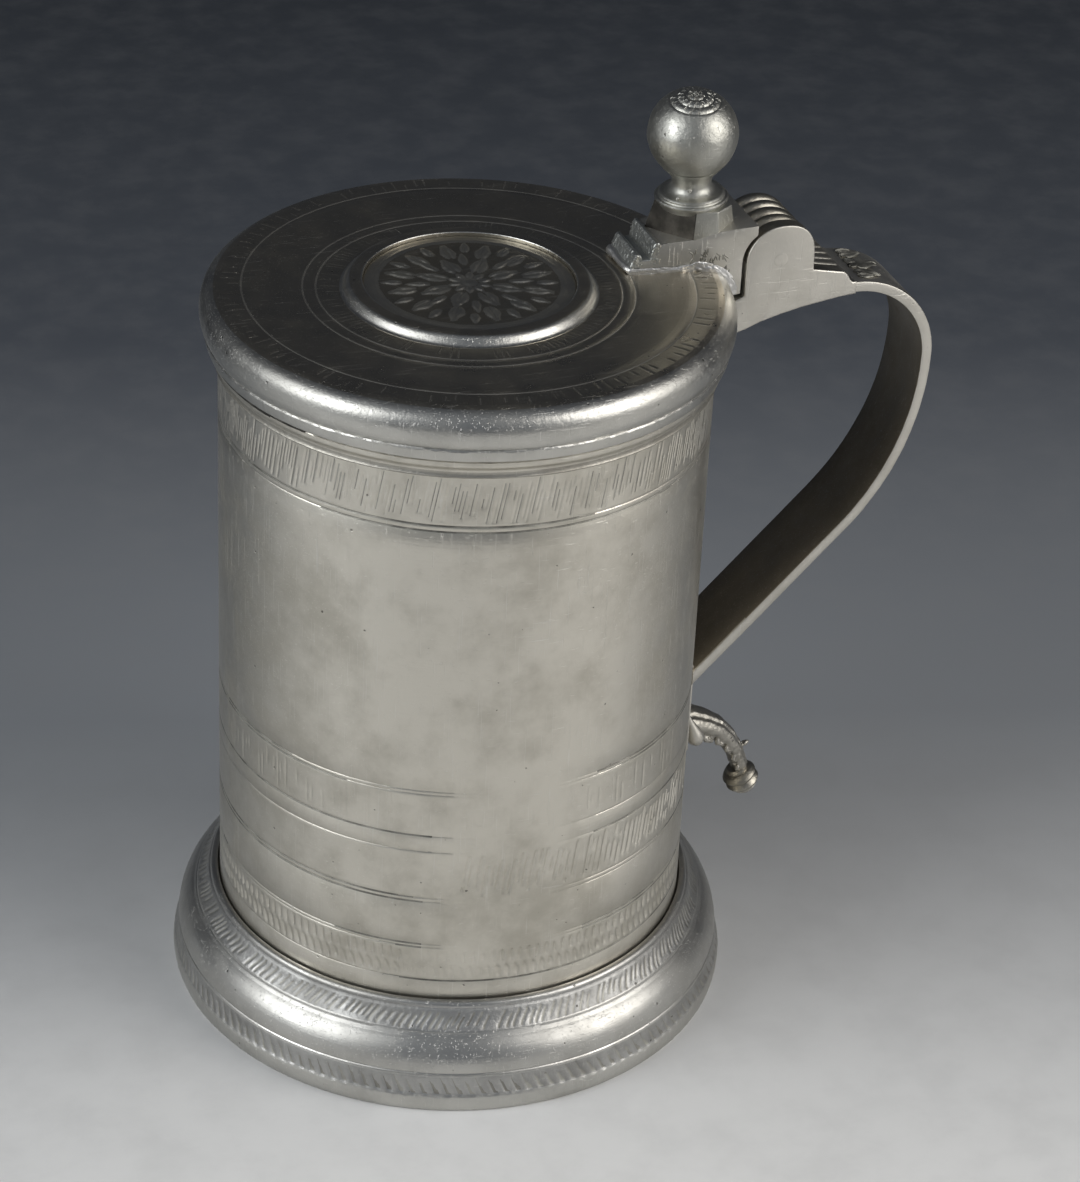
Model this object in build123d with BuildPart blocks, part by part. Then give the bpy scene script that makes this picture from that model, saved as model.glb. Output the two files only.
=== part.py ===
from build123d import *
from math import cos, radians, sin
import os

# Lidded pewter flagon, in millimetres.
# Origin at the centre of the ring it stands on, +Z up, handle along +X, lid hinge along Y.

# Drum and foot
drum_r = 55.0
wall = 2.5
foot_h = 24.5
foot_flare = 11.25
foot_wall = 3.2
ledge_w = 5.0
ledge_t = 3.0
seat_h = 4.5
floor_t = 2.5

# Lip round the mouth, and the lid that closes over it
mouth_z = 165.5
lip_h = 4.8
lip_w = 2.0
lid_gap = 0.3
lid_overhang = 4.0
lid_h = 11.8
lid_t = 2.5
rim_w = 4.0
roll_w = 4.4
flange_w = 1.4

# Medallion set in the lid
medallion_r = 23.4
medallion_t = 0.6
bezel_w = 4.3
bezel_h = 1.6
petal_count = 8
petal_h = 0.5

# Hinge
knuckle_r = 8.2
knuckle_gap = 0.8
side_gap = 0.2
rim_gap = 0.4
ear_gap_w = 2.8
pin_h = 1.6
pin_r = 2.0
pin_play = 0.05
handle_w = 18.5

# Thumbpiece plinth, its deck measured up from the lid
plinth_l = 27.5
plinth_front_w = 12.0
plinth_skew = 3.0
deck_front_h = 6.6
deck_back_h = 10.6
rib_l = 2.7
rib_h = 3.0
skirt_drop = 6.5
solder_w = 1.4
solder_h = 1.3

# Pedestal and ball
thumb_inset = 7.2
thumb_shift = 1.3
octagon_r = 8.5
octagon_taper = 4
pedestal_h = 13.0
collar_r = 8.3
collar_h = 2.0
neck_r = 4.6
ball_r = 10.3
ball_h = 29.9

# Handle: arm, strap and tail
arm_l = 19.3
arm_drop = 8.0
arm_root_h = 9.0
arm_belly = 1.2
shelf_h = 3.2
shelf_rise = 1.8
strap_t = 2.9
strap_edge_r = 0.6
bow_r = 21.0
back_r = 62.0
back_arc = 44.5
tongue_t = 1.6
tongue_l = 20.0
tail_reach = 18.8
tail_drop = 20.0
tail_w = 12.0
tail_knob_r = 4.0
drop_r = 2.2
drop_lean = 20.0

# Turned lines, as shares of the drum's height and of the lid's radius
drum_lines = (0.912, 0.901, 0.414, 0.408, 0.326, 0.294, 0.202, 0.194, 0.1005, 0.0345)
lid_lines = (0.617, 0.573, 0.844)
line_w = 0.35

# Places that follow from the sizes
foot_r = drum_r + foot_flare
floor_z = foot_h - seat_h
bore_r = drum_r - wall
lip_z = mouth_z - lip_h
lip_r = drum_r + lip_w
lid_r = drum_r + lid_overhang
lid_low_z = mouth_z + lid_gap
lid_z = lid_low_z + lid_h
knuckle_w = handle_w / 5
lug_ys = (-knuckle_w, knuckle_w)
ear_ys = (-2 * knuckle_w, 0, 2 * knuckle_w)
ear_x = lid_r + ear_gap_w
pin_x = ear_x + knuckle_r
pin_z = lid_z + pin_h
ear_low_z = lid_z - skirt_drop + knuckle_gap
deck_end_x = pin_x - 0.73 * knuckle_r
plinth_x = deck_end_x - plinth_l
deck_x = plinth_x + 2 * rib_l
thumb_x = lid_r - thumb_inset
collar_z = lid_z + pedestal_h
ball_z = lid_z + ball_h
arm_end_x = pin_x + arm_l
strap_top_z = pin_z - arm_drop
arm_low_z = strap_top_z - strap_t
tongue_x = drum_r + tongue_t
turn = radians(back_arc)
leg_x = arm_end_x + bow_r - back_r * (1 - cos(turn))
leg_l = (leg_x - tongue_x) / sin(turn)
landing_z = strap_top_z - bow_r - back_r * sin(turn) - leg_l * cos(turn)
tongue_top_z = landing_z + 1.5 * strap_t
tongue_low_z = landing_z - tongue_l
tail_z = tongue_low_z + 0.15 * tongue_l

os.makedirs("parts", exist_ok=True)

with BuildPart() as drum:
    with BuildSketch(Plane.XZ):
        with Locations((bore_r, floor_z)):
            Rectangle(wall, lip_z - floor_z, align=(Align.MIN, Align.MIN))
        with Locations([(drum_r, foot_h + share * (lip_z - foot_h)) for share in drum_lines]):
            Rectangle(line_w, line_w, rotation=45, mode=Mode.SUBTRACT)
    revolve(axis=Axis.Z)
drum.part.label = "drum"

with BuildPart() as drum_floor:
    with Locations((0, 0, floor_z)):
        Cylinder(bore_r, floor_t, align=(Align.CENTER, Align.CENTER, Align.MIN))
drum_floor.part.label = "drum_floor"

with BuildPart() as foot_skirt:
    with BuildSketch(Plane.XZ):
        with BuildLine():
            edge = Polyline((foot_r - foot_wall, 0), (foot_r - 0.04 * foot_flare, 0),
                            (foot_r, 0.03 * foot_h),
                            (foot_r - 0.01 * foot_flare, 0.18 * foot_h),
                            (foot_r - 0.12 * foot_flare, 0.4 * foot_h))
            bulge = ThreePointArc(edge @ 1, (foot_r - 0.22 * foot_flare, 0.58 * foot_h),
                                  (foot_r - 0.44 * foot_flare, 0.73 * foot_h))
            cove = ThreePointArc(bulge @ 1, (foot_r - 0.61 * foot_flare, 0.83 * foot_h),
                                 (drum_r + 0.21 * foot_flare, 0.94 * foot_h))
            bead = ThreePointArc(cove @ 1, (drum_r + 0.17 * foot_flare, 0.985 * foot_h),
                                 (drum_r + 0.09 * foot_flare, foot_h))
            Polyline(bead @ 1, (drum_r, foot_h), (drum_r, floor_z), (drum_r - ledge_w, floor_z),
                     (drum_r - ledge_w, floor_z - ledge_t),
                     (drum_r + 0.36 * foot_flare, floor_z - ledge_t), edge @ 0)
        make_face()
    revolve(axis=Axis.Z)
foot_skirt.part.label = "foot_skirt"

with BuildPart() as lip_moulding:
    with BuildSketch(Plane.XZ):
        with BuildLine():
            joint = Line((bore_r, lip_z), (drum_r + 0.35 * lip_w, lip_z))
            cavetto = ThreePointArc(joint @ 1, (drum_r + 0.45 * lip_w, lip_z + 0.4 * lip_h),
                                    (lip_r, lip_z + 0.7 * lip_h))
            Polyline(cavetto @ 1, (lip_r, mouth_z - 0.08 * lip_h), (lip_r - 0.2 * lip_w, mouth_z),
                     (bore_r, mouth_z),
                     joint @ 0)
        make_face()
    revolve(axis=Axis.Z)
lip_moulding.part.label = "lip_moulding"

with BuildPart() as lid_plate:
    with BuildSketch(Plane.XZ):
        with BuildLine():
            top = Line((0, lid_z), (lid_r - roll_w, lid_z))
            shoulder = ThreePointArc(top @ 1, (lid_r - 0.27 * roll_w, lid_z - 0.15 * lid_h),
                                     (lid_r, lid_z - 0.46 * lid_h))
            roll = ThreePointArc(shoulder @ 1, (lid_r - 0.05 * roll_w, lid_z - 0.64 * lid_h),
                                 (lid_r - 0.2 * roll_w, lid_z - 0.8 * lid_h))
            Polyline(roll @ 1, (lid_r - flange_w, lid_low_z), (lid_r - flange_w - rim_w, lid_low_z),
                     (lid_r - flange_w - rim_w, lid_z - lid_t), (0, lid_z - lid_t), top @ 0)
        make_face()
        with Locations([(share * lid_r, lid_z) for share in lid_lines]):
            Rectangle(line_w, line_w, rotation=45, mode=Mode.SUBTRACT)
    revolve(axis=Axis.Z)
lid_plate.part.label = "lid_plate"

with BuildPart() as medallion_bezel:
    with BuildSketch(Plane.XZ):
        with BuildLine():
            seat = Line((medallion_r, lid_z), (medallion_r + bezel_w, lid_z))
            swell = ThreePointArc(seat @ 1, (medallion_r + 0.8 * bezel_w, lid_z + 0.72 * bezel_h),
                                  (medallion_r + 0.35 * bezel_w, lid_z + bezel_h))
            Polyline(swell @ 1, (medallion_r, lid_z + 0.95 * bezel_h), seat @ 0)
        make_face()
    revolve(axis=Axis.Z)
medallion_bezel.part.label = "medallion_bezel"

with BuildPart() as medallion:
    with Locations((0, 0, lid_z)):
        Cylinder(medallion_r, medallion_t, align=(Align.CENTER, Align.CENTER, Align.MIN))
    with BuildSketch(Plane.XY.offset(lid_z + medallion_t)):
        Circle(0.16 * medallion_r)
        with PolarLocations(0.5 * medallion_r, petal_count):
            Ellipse(0.27 * medallion_r, 0.11 * medallion_r)
    extrude(amount=petal_h)
medallion.part.label = "medallion"

with BuildPart() as handle_bracket:
    with BuildSketch(Plane.XZ):
        with BuildLine():
            root = Line((drum_r - wall / 2, mouth_z - lid_gap),
                        (drum_r - wall / 2, mouth_z - arm_root_h))
            underside = Spline(root @ 1, (ear_x, mouth_z - 0.27 * arm_root_h),
                               (pin_x + 0.45 * arm_l, arm_low_z - arm_belly),
                               (arm_end_x, arm_low_z), tangents=((1, 2), (1, 0)))
            Polyline(underside @ 1, (arm_end_x, strap_top_z), (arm_end_x - 0.45 * shelf_h, strap_top_z),
                     (arm_end_x - 0.65 * shelf_h, strap_top_z + 0.75 * shelf_h),
                     (arm_end_x - shelf_h, strap_top_z + shelf_h),
                     (pin_x + 0.87 * knuckle_r, strap_top_z + shelf_h + shelf_rise),
                     (pin_x, strap_top_z + shelf_h + shelf_rise),
                     (pin_x, pin_z), (ear_x, pin_z), (ear_x + rim_gap, ear_low_z - knuckle_gap),
                     (lid_r, ear_low_z - knuckle_gap - lid_overhang / 4), (lid_r, mouth_z - lid_gap),
                     root @ 0)
        make_face()
        with Locations((pin_x, pin_z)):
            Circle(knuckle_r)
    extrude(amount=handle_w / 2, both=True)
    with Locations([(pin_x, y, pin_z) for y in lug_ys]):
        Cylinder(knuckle_r + knuckle_gap, knuckle_w, rotation=(90, 0, 0), mode=Mode.SUBTRACT)
    with Locations([(pin_x, y, ear_low_z - knuckle_gap) for y in lug_ys]):
        Box(2 * knuckle_r, knuckle_w, 3 * knuckle_r, align=(Align.MAX, Align.CENTER, Align.MIN),
            mode=Mode.SUBTRACT)
    with Locations((pin_x, 0, pin_z)):
        Cylinder(pin_r, handle_w, rotation=(90, 0, 0), mode=Mode.SUBTRACT)
    with Locations((0, 0, mouth_z - lid_gap)):
        Cylinder(lid_r + rim_gap, 2 * lid_h, align=(Align.CENTER, Align.CENTER, Align.MIN),
                 mode=Mode.SUBTRACT)
    add(drum.part, mode=Mode.SUBTRACT)
    add(lip_moulding.part, mode=Mode.SUBTRACT)
handle_bracket.part.label = "handle_bracket"

with BuildPart() as hinge_pin:
    with Locations((pin_x, 0, pin_z)):
        Cylinder(pin_r, handle_w, rotation=(90, 0, 0))
hinge_pin.part.label = "hinge_pin"

with BuildPart() as handle_strap:
    with BuildLine(Plane.XZ) as strap_path:
        bow = JernArc((arm_end_x, strap_top_z - strap_t / 2), (1, 0), bow_r - strap_t / 2, -90)
        back = JernArc(bow @ 1, bow % 1, back_r - strap_t / 2, -back_arc)
        Line(back @ 1, back @ 1 + (leg_l + 2 * strap_t) * (back % 1))
    with BuildSketch(Plane(strap_path.line @ 0, x_dir=(0, 1, 0), z_dir=(1, 0, 0))):
        RectangleRounded(handle_w, strap_t, strap_edge_r)
    sweep()
    with Locations((tongue_x, 0, landing_z)):
        Box(tongue_l, 2 * handle_w, 2 * tongue_l, align=(Align.MAX, Align.CENTER, Align.CENTER),
            mode=Mode.SUBTRACT)
handle_strap.part.label = "handle_strap"

with BuildPart() as handle_tail:
    with BuildSketch(Plane.XZ):
        with Locations((drum_r - wall / 2, tongue_low_z)):
            Rectangle(tongue_t + wall / 2, tongue_top_z - tongue_low_z, align=(Align.MIN, Align.MIN))
    extrude(amount=handle_w / 2, both=True)
    # Leaf sections: shares of the reach and drop, the slope, and shares of the width across and deep
    for along, down, slope, width, depth in ((-0.06, -0.01, 20, 1.0, 0.67), (0.37, 0.08, 28, 0.79, 0.58),
                                             (0.73, 0.35, 50, 0.62, 0.5), (0.94, 0.68, 74, 0.5, 0.45),
                                             (0.99, 0.9, 82, 0.38, 0.38)):
        centre = (tongue_x + along * tail_reach, 0, tail_z - down * tail_drop)
        with BuildSketch(Plane(centre, x_dir=(0, 1, 0), z_dir=(1, 0, 0)).rotated((slope, 0, 0))):
            Ellipse(width * tail_w / 2, depth * tail_w / 2)
    loft()
    with Locations((tongue_x + tail_reach, 0, tail_z - tail_drop)):
        Sphere(tail_knob_r)
    for y in (drop_r - handle_w / 2, handle_w / 2 - drop_r):
        drop_spot = (tongue_x + 1.2 * drop_r, y, tongue_low_z + drop_r)
        drop_way = (-sin(radians(drop_lean)), 0, cos(radians(drop_lean)))
        with BuildSketch(Plane(drop_spot, x_dir=(drop_way[2], 0, -drop_way[0]), z_dir=(0, -1, 0))):
            with BuildLine():
                stem = Line((0, -drop_r), (0, 4 * drop_r))
                bud = ThreePointArc((0, -drop_r), (drop_r, 0), (0.75 * drop_r, 0.9 * drop_r))
                Line(bud @ 1, stem @ 1)
            make_face()
        revolve(axis=Axis(drop_spot, drop_way))
    add(drum.part, mode=Mode.SUBTRACT)
handle_tail.part.label = "handle_tail"

with BuildPart() as thumbpiece_plinth:
    with BuildSketch(Plane.XZ):
        with BuildLine():
            ribs = Polyline((plinth_x, lid_z), (plinth_x, lid_z + deck_front_h - rib_h),
                            (plinth_x + 0.8 * rib_l, lid_z + deck_front_h - 0.9 * rib_h),
                            (plinth_x + rib_l, lid_z + deck_front_h - 1.2 * rib_h),
                            (plinth_x + 1.2 * rib_l, lid_z + deck_front_h),
                            (deck_x, lid_z + 1.03 * deck_front_h),
                            (deck_x + 0.3 * rib_l, lid_z + 0.94 * deck_front_h),
                            (deck_x + 0.5 * rib_l, lid_z + deck_front_h))
            Polyline(ribs @ 1, (deck_end_x, lid_z + deck_back_h), (deck_end_x, ear_low_z),
                     (ear_x, ear_low_z),
                     (lid_r, ear_low_z - lid_overhang / 4),
                     (lid_r - rim_w, ear_low_z - lid_overhang / 4),
                     (lid_r - rim_w, lid_z), ribs @ 0)
        make_face()
    extrude(amount=handle_w / 2, both=True)
    with BuildSketch(Plane.XY.offset(mouth_z)):
        with BuildLine():
            Polyline((plinth_x, plinth_skew - plinth_front_w / 2), (deck_end_x, -handle_w / 2),
                     (arm_end_x, -handle_w / 2),
                     (arm_end_x, handle_w / 2), (deck_end_x, handle_w / 2),
                     (plinth_x, plinth_skew + plinth_front_w / 2),
                     close=True)
        make_face()
    extrude(amount=3 * lid_h, mode=Mode.INTERSECT)
    with Locations([(pin_x, y, pin_z) for y in ear_ys]):
        Cylinder(knuckle_r + knuckle_gap, knuckle_w + 2 * side_gap, rotation=(90, 0, 0),
                 mode=Mode.SUBTRACT)
    with Locations([(ear_x - knuckle_gap, y, pin_z) for y in ear_ys]):
        Box(2 * knuckle_r, knuckle_w + 2 * side_gap, 2 * knuckle_r,
            align=(Align.MIN, Align.CENTER, Align.MAX),
            mode=Mode.SUBTRACT)
    with Locations([(pin_x, y, pin_z) for y in lug_ys]):
        Cylinder(knuckle_r, knuckle_w - 2 * side_gap, rotation=(90, 0, 0))
    with Locations((pin_x, 0, pin_z)):
        Cylinder(pin_r + pin_play, handle_w, rotation=(90, 0, 0), mode=Mode.SUBTRACT)
    add(lid_plate.part, mode=Mode.SUBTRACT)
thumbpiece_plinth.part.label = "thumbpiece_plinth"

with BuildPart() as plinth_solder:
    with BuildSketch(Plane.XY.offset(lid_z)):
        with BuildLine():
            Polyline((plinth_x - solder_w, plinth_skew - plinth_front_w / 2 - solder_w),
                     (lid_r - 1.5 * roll_w, -handle_w / 2), (lid_r - 1.5 * roll_w, handle_w / 2),
                     (plinth_x - solder_w, plinth_skew + plinth_front_w / 2 + solder_w), close=True)
        make_face()
    extrude(amount=solder_h)
    chamfer(plinth_solder.faces().sort_by(Axis.Z)[-1].edges(), 0.55 * solder_w)
    add(thumbpiece_plinth.part, mode=Mode.SUBTRACT)
plinth_solder.part.label = "plinth_solder"

with BuildPart() as thumbpiece_ball:
    with Locations((thumb_x, thumb_shift, ball_z)):
        Sphere(ball_r)
thumbpiece_ball.part.label = "thumbpiece_ball"

with BuildPart() as thumbpiece_pedestal:
    with BuildSketch(Plane.XY.offset(lid_z + deck_front_h / 2)):
        with Locations((thumb_x, thumb_shift)):
            RegularPolygon(octagon_r, 8, rotation=22.5)
    extrude(amount=pedestal_h - deck_front_h / 2, taper=octagon_taper)
    with BuildSketch(Plane.XZ):
        with BuildLine():
            Polyline(ribs @ 1, (deck_end_x, lid_z + deck_back_h), (deck_end_x, lid_z - lid_h),
                     (plinth_x, lid_z - lid_h),
                     (plinth_x, lid_z + deck_front_h), close=True)
        make_face()
    extrude(amount=handle_w, both=True, mode=Mode.SUBTRACT)
    with BuildSketch(Plane.XZ.offset(-thumb_shift)):
        with BuildLine():
            collar = Polyline((thumb_x, collar_z), (thumb_x + 0.94 * collar_r, collar_z),
                              (thumb_x + collar_r, collar_z + 0.3 * collar_h),
                              (thumb_x + collar_r, collar_z + 0.7 * collar_h),
                              (thumb_x + 0.87 * collar_r, collar_z + collar_h))
            neck = ThreePointArc(collar @ 1, (thumb_x + 1.1 * neck_r, ball_z - 1.28 * ball_r),
                                 (thumb_x + neck_r, ball_z - 1.07 * ball_r))
            Polyline(neck @ 1, (thumb_x + 1.13 * neck_r, ball_z - 0.85 * ball_r),
                     (thumb_x, ball_z - 0.85 * ball_r), collar @ 0)
        make_face()
    revolve(axis=Axis((thumb_x, thumb_shift, 0), (0, 0, 1)))
    add(thumbpiece_ball.part, mode=Mode.SUBTRACT)
thumbpiece_pedestal.part.label = "thumbpiece_pedestal"

for piece in (drum, drum_floor, foot_skirt, lip_moulding, lid_plate, medallion_bezel, medallion,
              handle_bracket,
              hinge_pin, handle_strap, handle_tail, thumbpiece_plinth, plinth_solder, thumbpiece_ball,
              thumbpiece_pedestal):
    export_step(piece.part, f"parts/{piece.part.label}.step")
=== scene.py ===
import bpy
import math
import random
import numpy as np
from mathutils import Matrix, Vector


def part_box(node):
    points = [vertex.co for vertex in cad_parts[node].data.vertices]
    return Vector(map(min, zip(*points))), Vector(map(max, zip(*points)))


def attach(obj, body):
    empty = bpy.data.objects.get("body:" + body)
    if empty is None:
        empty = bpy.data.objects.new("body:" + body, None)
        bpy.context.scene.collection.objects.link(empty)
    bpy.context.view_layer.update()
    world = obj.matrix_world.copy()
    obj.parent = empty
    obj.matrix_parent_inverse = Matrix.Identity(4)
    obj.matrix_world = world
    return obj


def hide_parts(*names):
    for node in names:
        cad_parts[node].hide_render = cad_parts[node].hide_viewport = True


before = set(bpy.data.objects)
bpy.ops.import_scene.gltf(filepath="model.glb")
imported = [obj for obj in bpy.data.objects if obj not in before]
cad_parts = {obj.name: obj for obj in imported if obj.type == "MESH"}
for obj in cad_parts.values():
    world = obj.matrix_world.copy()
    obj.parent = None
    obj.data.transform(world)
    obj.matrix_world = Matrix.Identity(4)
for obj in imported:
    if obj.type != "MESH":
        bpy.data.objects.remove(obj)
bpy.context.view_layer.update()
mm = 0.001
full_turn = 2 * math.pi

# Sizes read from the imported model
drum_low, drum_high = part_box("drum")
foot_low, foot_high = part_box("foot_skirt")
lip_low, lip_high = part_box("lip_moulding")
lid_low, lid_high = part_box("lid_plate")
disc_low, disc_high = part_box("medallion")
plinth_low, plinth_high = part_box("thumbpiece_plinth")
ball_low, ball_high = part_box("thumbpiece_ball")
bracket_low, bracket_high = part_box("handle_bracket")
strap_low, strap_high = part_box("handle_strap")
tail_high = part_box("handle_tail")[1]
pin_low, pin_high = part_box("hinge_pin")

drum_r = (drum_high.y - drum_low.y) / 2
foot_r = (foot_high.y - foot_low.y) / 2
lip_r = (lip_high.y - lip_low.y) / 2
lid_r = (lid_high.y - lid_low.y) / 2
disc_r = (disc_high.y - disc_low.y) / 2
foot_top = foot_high.z
lip_base = lip_low.z
lip_top = lip_high.z
lid_z = lid_high.z
pin_x = (pin_low.x + pin_high.x) / 2
pin_z = (pin_low.z + pin_high.z) / 2
pin_r = (pin_high.z - pin_low.z) / 2
half_w = pin_high.y
knuckle_w = 2 * half_w / 5
knuckle_r = plinth_high.x - pin_x
plinth_x = plinth_low.x
ball_x = (ball_low.x + ball_high.x) / 2
ball_y = (ball_low.y + ball_high.y) / 2
ball_z = (ball_low.z + ball_high.z) / 2
ball_r = (ball_high.z - ball_low.z) / 2 - 0.1 * mm
arm_end_x = bracket_high.x
strap_top_z = strap_high.z
bow_r = strap_high.x - arm_end_x
tongue_x = strap_low.x

# Sizes of the finished metalwork
wall = 2.5 * mm
line_half = 0.22 * mm
line_depth = 0.14 * mm
strap_t = 2.9 * mm
back_r = 62 * mm
back_arc = math.radians(44.5)
rim_gap = 0.4 * mm
side_gap = 0.2 * mm
knuckle_gap = 0.8 * mm
drum_columns = 810
foot_columns = 760
lid_columns = 640
ball_columns = 144
bore_r = drum_r - wall
root_x = drum_r - 0.5 * wall
seat_r = knuckle_r + knuckle_gap


class Wire:
    """A socket of a finish. Sums, differences and products of wires add Math nodes."""

    def __init__(self, finish, socket):
        self.finish = finish
        self.socket = socket

    def maths(self, operation, first, second):
        return self.finish.node("ShaderNodeMath", {"operation": operation}, {0: first, 1: second})

    def __add__(self, other):
        return self.maths("ADD", self, other)

    def __radd__(self, other):
        return self.maths("ADD", other, self)

    def __sub__(self, other):
        return self.maths("SUBTRACT", self, other)

    def __rsub__(self, other):
        return self.maths("SUBTRACT", other, self)

    def __mul__(self, other):
        return self.maths("MULTIPLY", self, other)

    def __rmul__(self, other):
        return self.maths("MULTIPLY", other, self)

    def above(self, level, spread):
        """0 below the level, 1 above it, with a soft step of the given spread."""
        return self.finish.node("ShaderNodeMapRange", {"interpolation_type": "SMOOTHSTEP"},
                                {0: self, 1: level - spread, 2: level + spread, 3: 0.0, 4: 1.0})


class Finish:
    """The nodes of a material or of the studio, and the one way they are added."""

    def __init__(self, owner, kind="BSDF_PRINCIPLED"):
        owner.use_nodes = True
        self.owner = owner
        self.tree = owner.node_tree
        self.shader = next(n for n in self.tree.nodes if n.type == kind)
        self.place = self.node("ShaderNodeTexCoord", out="Object")

    def node(self, kind, settings=None, sockets=None, out=0):
        made = self.tree.nodes.new(kind)
        for key, value in (settings or {}).items():
            if key == "stops":
                ramp = made.color_ramp.elements
                while len(ramp) < len(value):
                    ramp.new(0.5)
                for stop, (at, colour) in zip(ramp, value):
                    stop.position = at
                    stop.color = colour
            else:
                setattr(made, key, value)
        for key, value in (sockets or {}).items():
            self.feed(made.inputs[key], value)
        return Wire(self, made.outputs[out])

    def feed(self, socket, value):
        if isinstance(value, Wire):
            self.tree.links.new(value.socket, socket)
        else:
            socket.default_value = value

    def set(self, **sockets):
        for key, value in sockets.items():
            self.feed(self.shader.inputs[key.replace("_", " ")], value)

    def stretched(self, scale, turned=(0, 0, 0)):
        return self.node("ShaderNodeMapping", {}, {"Vector": self.place, "Scale": scale, "Rotation": turned})

    def noise(self, scale, detail=2.0, rough=0.5, where=None, out=0):
        return self.node("ShaderNodeTexNoise", {}, {"Vector": where or self.place, "Scale": scale,
                                                    "Detail": detail, "Roughness": rough}, out)

    def vector(self, operation, first, second, out=0):
        return self.node("ShaderNodeVectorMath", {"operation": operation}, {0: first, 1: second}, out)

    def mixed(self, share, first, second):
        return self.node("ShaderNodeMix", {"data_type": "RGBA"}, {0: share, 6: first, 7: second}, out=2)

    def bumped(self, strength, relief):
        return self.node("ShaderNodeBump", {}, {"Strength": strength, "Distance": 0.1 * mm, "Height": relief})


def tone(red, green, blue):
    return (red, green, blue, 1.0)


scratch_tone = tone(0.8, 0.785, 0.745)
pit_tone = tone(0.07, 0.065, 0.055)


def pewter(name, clean, dull, rough, stain, pitted, scratched, ringed=None, grain=0.0):
    """Old pewter: cloudy oxide, small pits, fine scratches, and the marks left by turning."""
    finish = Finish(bpy.data.materials.new(name))
    clouds = finish.noise(32, 6.0, 0.62)
    blotches = finish.noise(120, 4.0, 0.6)
    speckle = finish.noise(1500, 2.0, 0.6)
    oxide = (clouds * 0.65 + blotches * 0.35).above(0.53, 0.13) * stain
    wobble = finish.noise(1100, 2.0, 0.5, out="Color")
    ragged = finish.vector("MULTIPLY", wobble, (0.6 * mm, 0.6 * mm, 0.6 * mm))
    pit_place = {"Vector": finish.vector("ADD", finish.place, ragged), "Scale": 420.0}
    cells = finish.node("ShaderNodeTexVoronoi", {}, pit_place)
    chance = finish.node("ShaderNodeTexVoronoi", {}, pit_place, out="Color")
    luck = finish.node("ShaderNodeSeparateColor", {}, {0: chance})
    size = finish.node("ShaderNodeSeparateColor", {}, {0: chance}, out=1)
    pits = (1 - cells.above(0.03 + size * 0.1, 0.03)) * luck.above(1 - 0.3 * pitted, 0.02)
    long_way = finish.noise(1.0, 2.0, 0.5, finish.stretched((2600, 2600, 70), (0.5, 0.25, 0.3)))
    cross_way = finish.noise(1.0, 2.0, 0.5, finish.stretched((90, 2200, 2200), (0.2, 0.6, 0.9)))
    scratches = (long_way.above(0.67, 0.03) + cross_way.above(0.68, 0.03)) * scratched
    colour = finish.mixed(oxide, tone(*clean), tone(*dull))
    colour = finish.mixed(scratches * 0.3, colour, scratch_tone)
    colour = finish.mixed(pits * 0.7, colour, pit_tone)
    relief = speckle * 0.25 + clouds * 1.2 - pits * 2.0 - scratches * 0.55
    if ringed == "round":
        turning = finish.noise(1.0, 3.0, 0.6, finish.stretched((14, 14, 2300)))
        relief = relief + turning * 0.5
    if ringed == "flat":
        level = finish.vector("MULTIPLY", finish.place, (1, 1, 0))
        reach = finish.vector("LENGTH", level, (0, 0, 0), "Value")
        turning = finish.node("ShaderNodeTexNoise", {"noise_dimensions": "1D"},
                              {"W": reach, "Scale": 1900.0, "Detail": 3.0})
        relief = relief + turning * 0.35
    if grain:
        relief = relief + finish.noise(1000, 3.0, 0.65) * grain
    gloss = rough + oxide * 0.14 + (blotches - 0.5) * 0.16 + scratches * 0.1
    finish.set(Base_Color=colour, Metallic=1.0, Roughness=gloss, Normal=finish.bumped(0.55, relief))
    return finish.owner


def grime(name, dark, pale, rough):
    """Oxide and old polish packed into the cuts, rubbed away in patches; the near-black one is also used as
    painted shade.
    """
    finish = Finish(bpy.data.materials.new(name))
    patches = finish.noise(160, 4.0, 0.6).above(0.5, 0.16)
    finish.set(Base_Color=finish.mixed(patches, tone(*dark), tone(*pale)), Metallic=0.9,
               Roughness=rough + patches * 0.1, Normal=finish.bumped(0.4, finish.noise(2200, 2.0)))
    return finish.owner


# Finishes: clean and dull colour, roughness, how stained, pitted and scratched, and the marks of turning
drum_pewter = pewter("drum_pewter", (0.66, 0.63, 0.56), (0.45, 0.425, 0.365), 0.35, 0.8, 0.4, 0.9, "round")
foot_pewter = pewter("foot_pewter", (0.54, 0.53, 0.50), (0.38, 0.37, 0.345), 0.34, 0.7, 0.6, 0.9, "round")
lid_pewter = pewter("lid_pewter", (0.55, 0.505, 0.42), (0.40, 0.365, 0.30), 0.28, 0.6, 0.7, 0.8, "flat")
edge_pewter = pewter("edge_pewter", (0.56, 0.55, 0.515), (0.42, 0.41, 0.38), 0.32, 0.6, 0.8, 0.8, grain=1.2)
handle_pewter = pewter("handle_pewter", (0.63, 0.605, 0.55), (0.48, 0.46, 0.41), 0.4, 0.7, 0.5, 0.9)
dark_pewter = pewter("dark_pewter", (0.40, 0.375, 0.32), (0.21, 0.19, 0.155), 0.36, 0.8, 0.8, 0.5, grain=1.5)
# A rough darker finish for cast work, also used as painted shade in the lower hollow of the lip
cast_pewter = pewter("cast_pewter", (0.45, 0.43, 0.385), (0.25, 0.235, 0.2), 0.42, 0.9, 0.8, 0.5, grain=2.0)
band_pewter = pewter("band_pewter", (0.45, 0.445, 0.43), (0.28, 0.275, 0.262), 0.42, 0.9, 0.8, 0.5, grain=2.0)
# A darker finish used as painted shade on the inner side of the strap
shade_pewter = pewter("shade_pewter", (0.34, 0.30, 0.24), (0.21, 0.185, 0.145), 0.42, 0.8, 0.5, 0.6)
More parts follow.
